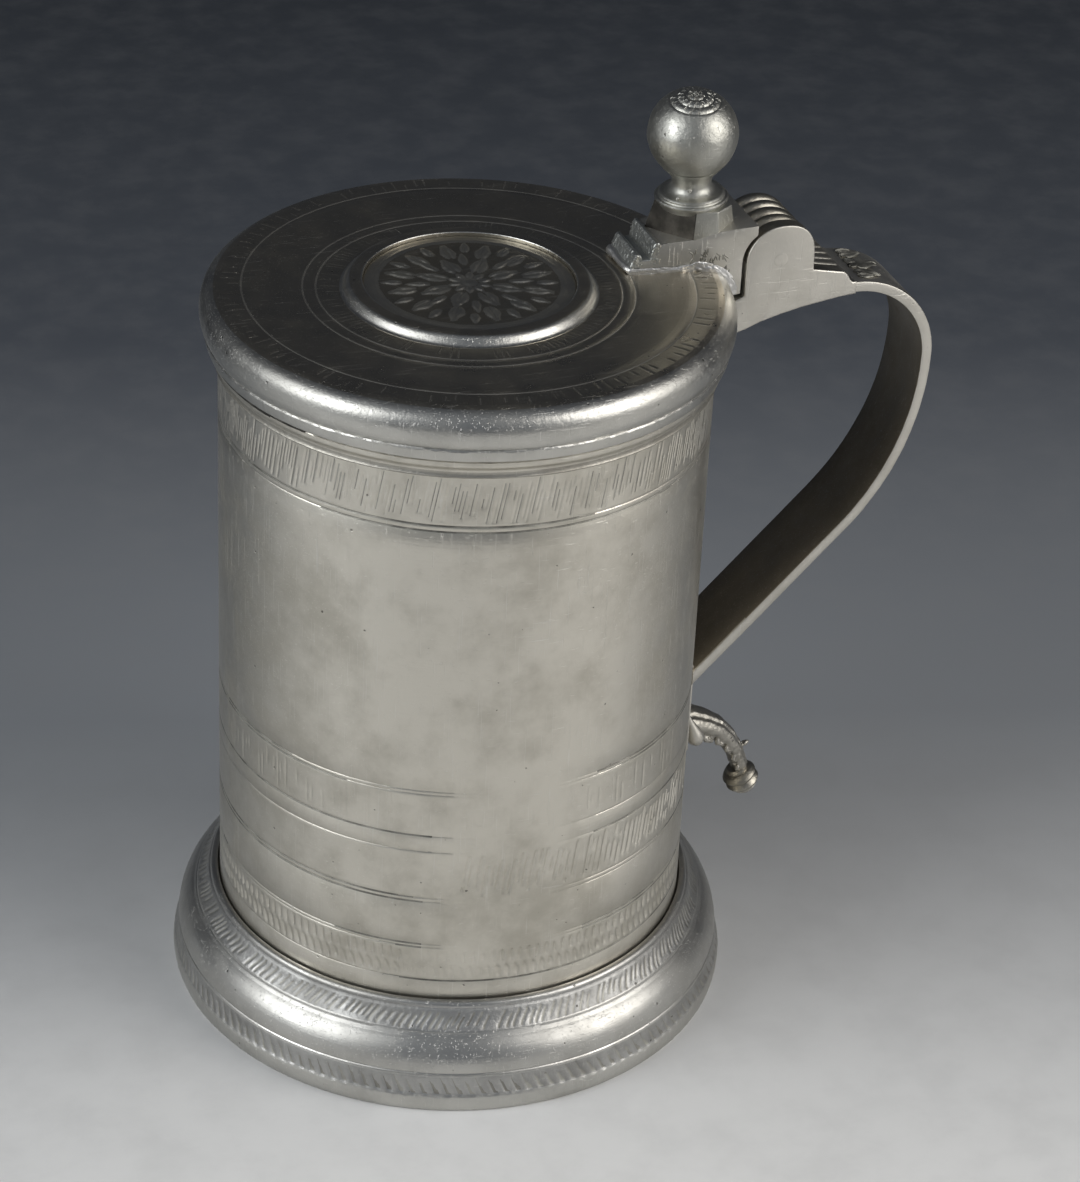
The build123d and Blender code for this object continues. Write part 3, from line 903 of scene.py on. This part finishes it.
# The block's outline and the ribs, back from the plinth's front and up from the lid
deck = ((0.9, -0.9), (0.9, 0.8), (1.6, 2.6), (4.4, 2.8), (5.2, 5.6), (6.4, 6.3), (8.2, 6.8), (13.1, 7.4),
        (18.7, 9.2), (22.6, 9.9))
low_rib = ((-0.1, -0.9), (0.0, 1.2), (0.9, 3.5), (1.4, 4.05), (2.0, 3.9), (2.5, 3.0), (2.7, -0.9))
high_rib = ((4.1, 1.5), (4.3, 3.4), (4.9, 6.2), (5.3, 6.8), (5.9, 6.85), (6.5, 6.3), (6.5, 1.5))
plinth_outline = stepped(plinth_x, lid_z, deck) + [(deck_end_x, lid_z + 10.6 * mm)]
plinth_outline += round_pin(seat_r, 132, 180, 7) + [(ear_x - knuckle_gap, ear_low_z - 0.3 * mm)]
plinth_outline += stepped(lid_r, ear_low_z, ((-0.2, -0.9), (-4, -0.9))) + stepped(lid_r, lid_z, ((-4, -0.9),))


def plinth_slab(name, outline):
    """A slab as wide as the plinth, with its near side cut askew."""
    piece = slab(name, outline, 2 * half_w)
    saw((plinth_x, front_y, lid_z), (math.sin(skew), -math.cos(skew), 0))
    return piece


def crowned_knuckle(name, middle_y, thick):
    """A hinge knuckle: a disc on the pin with a rounded rim."""
    half = thick / 2
    crown = 1.8 * mm
    rim = knuckle_r + 0.4 * mm - crown
    profile = [(0, -half), (rim, -half)]
    profile += [(rim + crown * math.cos(a), (half - 0.02 * mm) * math.sin(a))
                for a in even(-math.pi / 2, math.pi / 2, 10)]
    profile += [(rim, half), (0, half)]
    return turn(name, profile, 72, (pin_x, middle_y, pin_z), "Y")


def near_side(x, outwards=0.0):
    """The plinth's near side at a place along it."""
    return front_y + side_slope * (x - plinth_x) - outwards


lugs = [plinth_slab("plinth_block", plinth_outline)]
round_edges(lugs[0], 0.2 * mm, 2, 20)
for steps in (low_rib, high_rib):
    rib = plinth_slab("front_rib", stepped(plinth_x, lid_z, steps))
    lugs.append(cast(rib, 0.22 * mm, 0.35 * mm, 0.6 * mm))
neck_outline = [(deck_end_x - 3 * mm, ear_low_z + 2 * mm), (pin_x, ear_low_z + 2 * mm),
                (pin_x, pin_z + 0.6 * knuckle_r), (deck_end_x - 3 * mm, lid_z + 9.5 * mm)]
for y in (-knuckle_w, knuckle_w):
    lugs.append(crowned_knuckle("lid_knuckle", y, knuckle_w - 2 * side_gap))
    lugs.append(slab("knuckle_neck", neck_outline, knuckle_w - 2 * side_gap, y))
# Nicks on the near side: middle of each patch along and up, its half sizes and how many
nick_patches = ((52.6, 3.6, 3.2, 1.5, 20), (55.8, 1.0, 1.9, 2.4, 20), (58.0, -2.4, 1.0, 2.2, 11))
rng = random.Random(43)
clear_bench()
bpy.ops.mesh.primitive_ico_sphere_add(subdivisions=2, radius=1.0)
notch = put(named("side_nick"), (0, 0, 0), (0, 0, 0), (0.8 * mm, 0.1 * mm, 0.17 * mm))
for x, up, long, tall, count in nick_patches:
    for number in range(count):
        at_x = (x + rng.uniform(-long, long)) * mm
        spot = (at_x, near_side(at_x), lid_z + (up + rng.uniform(-tall, tall)) * mm)
        lugs.append(put(copy_of(notch), spot, (0, math.radians(rng.uniform(25, 115)), skew)))
bpy.data.objects.remove(notch)
plinth = join(lugs, "thumb_plinth")
coat(plinth, handle_pewter)
spots = places(plinth, "FACE")
along = spots[:, 0]
coat(plinth, rough_pewter, along < plinth_x + 6.2 * mm)
coat(plinth, line_grime, between(along, 49 * mm, 61 * mm) & (spots[:, 1] < near_side(along) - 0.02 * mm))
coat(plinth, dark_pewter, (along > deck_end_x + 1.5 * mm) & (from_pin(spots) > 6 * mm))
done(plinth, "lid", "thumbpiece_plinth", 38)

# Solder: a lumpy bead along the foot of the plinth that runs down over the lid's edge
front_stops = ((-0.3, 8.8, 0.2), (-0.4, 5, 0.25), (-0.4, 1, 0.2), (-0.3, -2, 0.25))
side_stops = ((36.9, 0.35), (39, 0.4), (41, 0.4), (43, 0.5), (45.5, 0.6), (48, 0.9), (50, 1.3), (51.6, 1.7),
              (53.3, 1.1), (55, 0.5), (56.8, -0.5), (58.2, -1.9), (59.0, -3.4), (59.3, -4.4))
bead_path = [(plinth_x + x * mm, y * mm, lid_z + up * mm) for x, y, up in front_stops]
bead_path += [(x * mm, near_side(x * mm, 0.2 * mm), lid_z + (up - 0.5) * mm) for x, up in side_stops]
clear_bench()
bpy.ops.mesh.primitive_circle_add(vertices=14, radius=1.05 * mm)
solder = put(named("solder_bead"), bead_path[0], (math.pi / 2, 0, 0))
open_mesh()
select_all()
rng = random.Random(41)
for here, there in zip(bead_path, bead_path[1:]):
    pull_edges(Vector(there) - Vector(here))
    size = rng.uniform(0.84, 1.16)
    stretch((size, size, size), there)
close_ends()
bpy.ops.mesh.subdivide(number_cuts=3, smoothness=0.6)
clean_up()
dent(solder, 0.45 * mm, 0.8 * mm, 0.6)
coat(solder, solder_pewter)
done(solder, "lid", "plinth_solder", 60)

# Pedestal: an eight-sided foot flush with the plinth's near side, a stepped collar and a hollow neck
octagon_low_z = lid_z + 6.0 * mm
collar_z = lid_z + 14.1 * mm
neck_top = ball_z - collar_z
lean = math.radians(-2.4)
# Corners of the foot in plan, from the collar's middle
corners = ((-2.1, -7.28), (3.6, -8.54), (9.0, -5.0), (9.8, 3.2), (5.0, 9.0), (-3.4, 9.4), (-9.0, 4.6),
           (-6.8, -0.5))
octagon = draw("octagon", [(x, y, octagon_low_z) for x, y in stepped(ball_x, ball_y, corners)])
pull_face((0, 0, collar_z - octagon_low_z))
stretch((0.84, 0.84, 1), (ball_x, ball_y - 8 * mm, collar_z))
clean_up()
round_edges(octagon, 0.3 * mm, 3, 20)
collar_steps = ((0, -1.2), (6.9, -1.2), (7.5, -0.3), (7.95, 0.2), (8.22, 0.5), (8.25, 0.9), (8.0, 1.15),
                (7.5, 1.2), (7.3, 1.45), (7.35, 1.8), (7.1, 2.1))
# The neck's flare into the ball: radius, and how far below the ball's middle as a share of its radius
flare_steps = ((4.45, 1.05), (4.75, 0.97), (5.3, 0.9), (6.0, 0.827), (6.8, 0.75), (0, 0.6))
neck_profile = stepped(0, 0, collar_steps)
neck_profile += curve((6.9 * mm, 2.2 * mm), (4.35 * mm, neck_top - 1.14 * ball_r), 0.75 * mm, 8)
neck_profile += [(r * mm, neck_top - share * ball_r) for r, share in flare_steps]
neck = put(turn("neck", neck_profile, 96), (ball_x, ball_y, collar_z), (0, lean, 0))
turned_parts = [octagon, neck]
for x, y, up in ((-2.4, -4.4, 4.0), (-4.9, -4.0, 2.3)):
    clear_bench()
    bpy.ops.mesh.primitive_ico_sphere_add(subdivisions=5, radius=1.0)
    lump = put(named("neck_lump"), (ball_x + x * mm, ball_y + y * mm, collar_z + up * mm), (0, 0, 0),
               (0.45 * mm, 0.4 * mm, 0.5 * mm))
    dent(lump, 0.4 * mm, 0.5 * mm, 0.5)
    turned_parts.append(lump)
pedestal = join(turned_parts, "thumb_pedestal")
coat(pedestal, ball_pewter)
# The front-left facet below the collar is painted near black: painted shade for the side that faces away from
# the lamps
front_left = facing(pedestal) @ np.array([-0.826, -0.563, 0], np.float32) > 0.9
coat(pedestal, deep_grime, front_left & (height(places(pedestal, "FACE")) < collar_z - 0.6 * mm))
done(pedestal, "lid", "thumbpiece_pedestal", 38)


# Ball: set a little askew, with worn rosette rings cut into its crown
def tilt_of(spots):
    """How far each place is down from the ball's crown, in degrees."""
    return np.degrees(np.arctan2(far_out(spots), height(spots)))


ball_stops = even(0, 44, 22) + even(48, 176, 32)
ring_cuts = {4: 0.2, 12: 0.24, 14: 0.12, 24: 0.24, 26: 0.12, 34: 0.18}
ball_profile = []
for stop in ball_stops:
    ring_r = ball_r - ring_cuts.get(stop, 0) * mm
    ball_profile.append((math.sin(math.radians(stop)) * ring_r, math.cos(math.radians(stop)) * ring_r))
ball_profile.append((0, -ball_r))
ball = turn("thumb_ball", ball_profile, ball_columns)
coat(ball, ball_pewter)
coat(ball, hatch_grime)
spots = places(ball, "FACE")
tilt = tilt_of(spots)
around = columns_of(spots, ball_columns)
marks = between(tilt, 16, 23) & ((around + (tilt > 19) * 2) % 10 < 3)
marks |= between(tilt, 27, 33) & ((around + (tilt > 30) * 2) % 8 < 2) & (np.sin(around * 0.21) > -0.4)
marks |= between(tilt, 6, 11) & (around % 24 < 12)
pick(ball, "FACE", marks)
bpy.ops.mesh.inset(thickness=0.08 * mm, depth=-0.08 * mm, use_even_offset=True)
fill_in(ball, 1)
nick(ball, tilt_of(places(ball, "VERT")) < 38, 0.02 * mm, 9)
dent(ball, 0.22 * mm, 5 * mm)
dent(ball, 0.07 * mm, 1.4 * mm)
put(ball, (ball_x + math.sin(lean) * neck_top, ball_y, ball_z),
    Matrix.Rotation(math.radians(9), 3, (0.93, -0.37, 0)).to_euler())
done(ball, "lid", "thumbpiece_ball", 45)

# Bracket: the handle's arm, its three knuckles and the reeded shelf
arm_low_z = strap_top_z - strap_t
lid_clear_x = lid_r + 1.2 * rim_gap
mouth_z = lip_top - 0.3 * mm
belly = [(root_x, bracket_low.z + 0.2 * mm)] + stepped(drum_r, bracket_low.z, ((1.2, 2.0), (3.2, 4.2)))
belly += stepped(pin_x, arm_low_z, ((-7.4, -5.5), (-3.5, -4), (1, -2.8), (6, -1.7), (10, -1.1), (15, -0.35)))
belly.append((arm_end_x, arm_low_z))
shelf_steps = ((0, 0), (-1.1, 0.05), (-1.7, 0.7), (-2.4, 2.0), (-3.4, 2.9), (-11.0, 4.45))
shelf = stepped(arm_end_x, strap_top_z, shelf_steps)
shelf_foot, shelf_front, shelf_back = shelf[3:]
lid_side = [(ear_x, ear_low_z - knuckle_gap), (lid_clear_x, ear_low_z - knuckle_gap - 0.9 * mm),
            (lid_clear_x, mouth_z)]
arm_outline = belly + shelf + round_pin(seat_r, -23, -116, 12) + lid_side + [(root_x, mouth_z)]
arm = slab("handle_arm", arm_outline, 2 * half_w - 0.3 * mm)
round_edges(arm, 0.3 * mm, 2, 35)
# The near ear's crown is squarer at the back than at the front
crown = [(pin_x + knuckle_r * math.cos(a) ** 0.8, pin_z + knuckle_r * math.sin(a) ** 0.8)
         for a in even(0, math.pi / 2 - 0.01, 9)]
crown += round_pin(knuckle_r, 100.27, 180, 9)
near_ear = slab("near_ear", belly[2:] + shelf + crown + lid_side, knuckle_w, -2 * knuckle_w)
round_edges(near_ear, 0.32 * mm, 3, 25)
ears = [arm, near_ear]
core_outline = [(ear_x + 0.8 * mm, ear_low_z - 2 * mm), (ear_x + 0.8 * mm, pin_z),
                (pin_x, pin_z + 0.6 * knuckle_r), (pin_x + 0.7 * knuckle_r, pin_z)]
core_outline += stepped(*shelf_back, ((0, -0.1),)) + stepped(*shelf_front, ((0, -0.1),))
core_outline.append((shelf_front[0], arm_low_z + 1 * mm))
for y in (0, 2 * knuckle_w):
    ears.append(crowned_knuckle("far_ear", y, knuckle_w))
    ears.append(slab("ear_core", core_outline, knuckle_w - 0.3 * mm, y))
reed_count = 6
reed_w = 2 * half_w / reed_count
reed_outline = stepped(*shelf_foot, ((0, -1),)) + stepped(*shelf_front, ((0.3, 0.25),))
reed_outline += stepped(*shelf_back, ((-0.6, 0.55), (-0.6, -1.5)))
for number in range(1, reed_count):
    reed = slab("shelf_reed", reed_outline, 0.86 * reed_w, -half_w + reed_w * (number + 0.5))
    round_edges(reed, 0.3 * reed_w, 3, 30)
    ears.append(reed)
# Leaf scrolls where the shelf runs out on the strap: length, width, place across and swing
scrolls = ((8.0, 5.0, 0.3, 0), (6.5, 3.2, -3.6, -20), (6.5, 3.2, 4.0, 20), (4.2, 2.4, -6.0, -8),
           (4.2, 2.4, 6.4, 10), (3.4, 2.0, -1.8, 35), (3.4, 2.0, 2.3, -35))
for number, (length, width, y, swing) in enumerate(scrolls):
    spot = (arm_end_x + 1.6 * mm, y * mm, strap_top_z + 0.05 * mm)
    ears.append(leaf("scroll_leaf", length * mm, width * mm, 0.8 * mm, 61 + number, spot,
                     (0, math.radians(9), math.radians(swing))))
bracket = join(ears, "handle_arm_and_ears")
coat(bracket, handle_pewter)
spots = places(bracket, "FACE")
inner_side = spots[:, 1] > -half_w + 0.4 * mm
on_knuckles = inner_side & (from_pin(spots) > 6 * mm) & (height(spots) > pin_z - 3 * mm)
on_shelf = inner_side & (spots[:, 0] > pin_x + 0.8 * knuckle_r) & (height(spots) > strap_top_z + 0.1 * mm)
coat(bracket, dark_pewter, on_knuckles)
coat(bracket, cast_pewter, on_shelf & (spots[:, 1] < half_w - 0.3 * mm))
coat(bracket, line_grime, spots[:, 0] > arm_end_x + 0.2 * mm)
done(bracket, "vessel", "handle_bracket", 38)

# Hinge pin, its ends hammered to low domes on the outer knuckles: share of its radius, and how far proud
dome_steps = ((0, 0.06), (0.5, 0.05), (0.8, 0.02), (0.95, -0.06), (1, -0.2))
pin_profile = [(share * pin_r, -half_w - proud * mm) for share, proud in dome_steps]
pin_profile += [(r, -y) for r, y in reversed(pin_profile)]
pin = turn("pin_body", pin_profile, 40, (pin_x, 0, pin_z), "Y")
coat(pin, handle_pewter)
done(pin, "vessel", "hinge_pin", 40)

# Strap: a flat band with eased edges, bent round two arcs and brought straight back to the drum
ease = 0.6 * mm
grip_middle = (72 * mm, 0, 125 * mm)
near_corner = [(-half_w, strap_top_z - ease), (-half_w + 0.3 * ease, strap_top_z - 0.3 * ease),
               (-half_w + ease, strap_top_z), (-0.4 * half_w, strap_top_z)]
upper_side = near_corner + [(-y, z) for y, z in reversed(near_corner)]
lower_side = [(-y, arm_low_z + strap_top_z - z) for y, z in upper_side]
section = lower_side[-1:] + upper_side + lower_side
strap = draw("handle_strap_body", [(arm_end_x - 0.5 * mm, y, z) for y, z in section])
clean_up()
pull_edges((0.5 * mm, 0, 0))
bow_centre = (arm_end_x, 0, strap_top_z - bow_r)
back_centre = (arm_end_x + bow_r - back_r, 0, strap_top_z - bow_r)
bpy.ops.mesh.spin(steps=30, angle=-math.pi / 2, center=bow_centre, axis=(0, 1, 0))
bpy.ops.mesh.spin(steps=24, angle=-back_arc, center=back_centre, axis=(0, 1, 0))
leg_x = back_centre[0] + back_r * math.cos(back_arc)
leg_l = (leg_x - tongue_x) / math.sin(back_arc) + 0.5 * strap_t
leg_way = Vector((-math.sin(back_arc), 0, -math.cos(back_arc)))
leg_steps = 10
for step in range(leg_steps):
    pull_edges(leg_way * leg_l / leg_steps)
clean_up()
close_ends()
saw((tongue_x - 0.8 * mm, 0, 0), (-1, 0, 0))
# The near edge stands out more and more towards the foot of the strap
for level in in_mm(even(158, 112, 9)):
    spots = places(strap, "VERT")
    pick(strap, "VERT", (spots[:, 1] < -0.7 * half_w) & (height(spots) < level))
    shift((0, -0.11 * mm, 0))
coat(strap, handle_pewter)
# The strap's inner side, turned towards the drum, takes a darker finish as painted shade
grip_way = np.array(grip_middle, np.float32) - places(strap, "FACE")
grip_way /= np.linalg.norm(grip_way, axis=1)[:, None]
coat(strap, shade_pewter, (grip_way * facing(strap)).sum(axis=1) > 0.45)
dent(strap, 0.25 * mm, 20 * mm)
done(strap, "vessel", "handle_strap", 38)

# Tail: a tongue on the drum, a leaf that curls away to a ringed knob, and two drops
tongue_low_z = strap_low.z - 20 * mm
tail_start_z = tongue_low_z + 3 * mm
reach, drop, leaf_w = 18.8 * mm, 20 * mm, 12 * mm
tongue_outline = [(root_x, tongue_low_z), (tongue_x, tongue_low_z), (tongue_x, tail_high.z),
                  (root_x, tail_high.z)]
tongue = slab("tongue", tongue_outline, 2 * half_w)
round_edges(tongue, 0.4 * mm, 2, 30)
# Stations of the leaf: shares of reach and drop, slope, and shares of the width across and deep
leaf_path = ((-0.06, -0.01, 20, 0.9, 0.6), (0.15, 0.0, 20, 0.84, 0.58), (0.37, 0.08, 28, 0.76, 0.53),
             (0.57, 0.19, 38, 0.66, 0.48), (0.73, 0.35, 50, 0.57, 0.43), (0.85, 0.53, 58, 0.5, 0.38),
             (0.92, 0.7, 62, 0.44, 0.36), (0.97, 0.83, 64, 0.4, 0.36))
clear_bench()
bpy.ops.mesh.primitive_circle_add(vertices=28, radius=0.5)
leaf_body = put(named("tail_leaf"), (0, 0, 0), (0, math.pi / 2, 0))
pick(leaf_body, "VERT", np.arange(28) % 7 == 3)
stretch((1, 0.86, 0.86))
select_all()
at = Vector((0, 0, 0))
tilted, broad, deep = 0.0, 1.0, 1.0
for along, down, slope, across, thick in leaf_path:
    spot = Vector((tongue_x + along * reach, 0, tail_start_z - down * drop))
    if along > 0:
        pull_edges(spot - at)
    else:
        shift(spot - at)
    bpy.ops.transform.rotate(value=math.radians(tilted), orient_axis="Y", center_override=spot)
    stretch((1, across * leaf_w / broad, thick * leaf_w / deep), spot)
    bpy.ops.transform.rotate(value=math.radians(-slope), orient_axis="Y", center_override=spot)
    at, tilted, broad, deep = spot, slope, across * leaf_w, thick * leaf_w
close_ends()
curl = [leaf_body]
for station, (along, down, slope, across, thick) in enumerate(leaf_path[1:7]):
    for side in (-1, 1):
        spot = (tongue_x + along * reach - 0.6 * mm, side * 0.38 * across * leaf_w,
                tail_start_z - down * drop - 0.16 * thick * leaf_w)
        curl.append(leaf("tail_lobe", 0.46 * across * leaf_w, 0.36 * across * leaf_w, 1.7 * mm, 70 + station,
                         spot, (math.radians(-66 * side), math.radians(slope + 22), 0)))
tip_spot = (tongue_x + 0.95 * reach, 0, tail_start_z - 0.53 * drop)
curl.append(leaf("tail_tip", 2.6 * mm, 1.8 * mm, 1.1 * mm, 79, tip_spot, (0, math.radians(-20), 0)))
tail_parts = [tongue, cast(join(curl, "tail_curl"), 0.25 * mm, 0.3 * mm, 1.2 * mm)]
knob_steps = ((0, 3.4), (1.9, 3.4), (2.5, 2.9), (2.45, 2.3), (3.2, 2.0), (3.75, 1.1), (3.5, 0.5), (3.0, 0.3),
              (3.5, -0.2), (3.7, -0.9), (3.3, -1.6), (2.8, -1.8), (2.9, -2.3), (2.1, -3.3), (0.9, -3.9),
              (0, -4.0))
knob_lean = math.radians(27)
knob_spot = (tongue_x + reach, 0, tail_start_z - drop)
knob = turn("tail_knob", stepped(0, 0, knob_steps), 40)
tail_parts.append(put(knob, knob_spot, (0, -knob_lean, 0), (1.14, 1.14, 1.1)))
drop_r = 2.2 * mm
bud_steps = ((0, -1), (0.55, -0.86), (0.9, -0.42), (0.97, 0.1), (0.8, 0.8), (0.46, 1.8), (0.2, 2.9), (0, 3.9))
bud = turn("drop_bud", [(share * drop_r, up * drop_r) for share, up in bud_steps], 28)
for y in (drop_r - half_w, half_w - drop_r):
    spot = (tongue_x + 1.2 * drop_r, y, tongue_low_z + drop_r)
    tail_parts.append(put(copy_of(bud), spot, (0, math.radians(-20), 0)))
bpy.data.objects.remove(bud)
tail = join(tail_parts, "handle_tail_body")
coat(tail, handle_pewter)
spots = places(tail, "FACE")
knob_way = np.array([math.sin(knob_lean), 0, -math.cos(knob_lean)], np.float32)
from_knob = spots - np.array(knob_spot, np.float32)
coat(tail, cast_pewter, (spots[:, 0] > tongue_x + 0.2 * mm) & (abs(spots[:, 1]) < 0.5 * leaf_w))
coat(tail, dark_pewter, (np.linalg.norm(from_knob, axis=1) < 5 * mm) & (from_knob @ knob_way < 2.0 * mm))
done(tail, "vessel", "handle_tail", 38)

# Floor and backdrop: a pale table that runs back into slate grey
camera_spot = Vector((-0.24125, -0.66282, 0.53113))
camera_way = Vector((0.3130, 0.7939, -0.5213)).normalized()
camera_roll = math.radians(2.857)
level_way = Vector((camera_way.x, camera_way.y, 0)).normalized()
clear_bench()
bpy.ops.mesh.primitive_plane_add(size=6)
table = named("floor_sheet")
sheet = Finish(bpy.data.materials.new("table_sheet"))
fade_way = Matrix.Rotation(math.radians(7), 3, "Z") @ level_way
behind = sheet.vector("DOT_PRODUCT", sheet.place, tuple(fade_way), "Value")
fade = sheet.node("ShaderNodeMapRange", {}, {0: behind, 1: -0.12, 2: 0.75, 3: 0.0, 4: 1.0})
shade_stops = ((0.0, tone(0.95, 0.94, 0.92)), (0.25, tone(0.31, 0.325, 0.345)),
               (0.5, tone(0.09, 0.10, 0.118)), (1.0, tone(0.027, 0.032, 0.04)))
shades = sheet.node("ShaderNodeValToRGB", {"stops": shade_stops}, {0: fade})
specks = sheet.noise(60, 5.0, 0.6)
mottle = sheet.mixed(specks.above(0.55, 0.2) * 0.12, shades, tone(0.3, 0.3, 0.3))
# Away from the middle, except far behind, the floor is painted darker: a painted falloff of the lamps' light
away = sheet.vector("LENGTH", sheet.place, (0, 0, 0), "Value")
painted_falloff = away.above(0.6, 0.2) * (1 - fade.above(0.25, 0.15))
sheet.set(Base_Color=sheet.mixed(painted_falloff, mottle, tone(0.33, 0.335, 0.34)), Roughness=0.75)
table.data.materials.append(sheet.owner)

# Camera at the photograph's place. Its focal length was found in pixels of the picture's height
picture_h = 1182
focal_px = 3600
eye = bpy.data.cameras.new("camera")
eye.sensor_width = 36
eye.lens = eye.sensor_width * focal_px / picture_h
eye.clip_start = 0.01
camera = bpy.data.objects.new("camera", eye)
bpy.context.scene.collection.objects.link(camera)
side_way = camera_way.cross(Vector((0, 0, 1))).normalized()
up_way = side_way.cross(camera_way).normalized()
right_way = side_way * math.cos(camera_roll) + up_way * math.sin(camera_roll)
top_way = right_way.cross(camera_way).normalized()
camera.matrix_world = Matrix((right_way, top_way, -camera_way)).transposed().to_4x4()
camera.location = camera_spot
bpy.context.scene.camera = camera


def softbox(name, swing, rise, size, glow, colour):
    """A soft studio lamp, placed by its swing from the camera's side and its rise, aimed at the object."""
    lamp = bpy.data.lights.new(name, "AREA")
    lamp.shape = "SQUARE"
    lamp.size = size
    lamp.energy = glow * math.pi * size ** 2
    lamp.color = colour
    stand = bpy.data.objects.new(name, lamp)
    bpy.context.scene.collection.objects.link(stand)
    flat = Matrix.Rotation(math.radians(swing), 3, "Z") @ -level_way
    way = flat * math.cos(math.radians(rise)) + Vector((0, 0, math.sin(math.radians(rise))))
    stand.location = Vector((0, 0, 0.09)) + way * 1.1
    stand.rotation_mode = "QUATERNION"
    stand.rotation_quaternion = (-way).to_track_quat("-Z", "Y")


softbox("left_lamp", -59, 20, 0.17, 4, (0.95, 0.98, 1.0))
softbox("right_lamp", 69, 17, 0.17, 5, (1.0, 0.95, 0.87))
softbox("left_softbox", -59, 28, 0.8, 3.3, (0.97, 0.99, 1.0))
softbox("right_softbox", 69, 28, 0.8, 3.5, (1.0, 0.98, 0.95))

# The studio's walls are darker behind the object than behind the camera
world = bpy.data.worlds.new("studio")
bpy.context.scene.world = world
studio = Finish(world, "BACKGROUND")
ray = studio.node("ShaderNodeTexCoord", out="Generated")
ahead = studio.vector("DOT_PRODUCT", ray, tuple(level_way), "Value")
near_wall, far_wall = tone(0.15, 0.165, 0.19), tone(0.03, 0.033, 0.04)
studio.set(Color=studio.mixed(ahead.above(0.02, 0.33), near_wall, far_wall), Strength=1.0)

bpy.context.scene.view_settings.view_transform = "Standard"
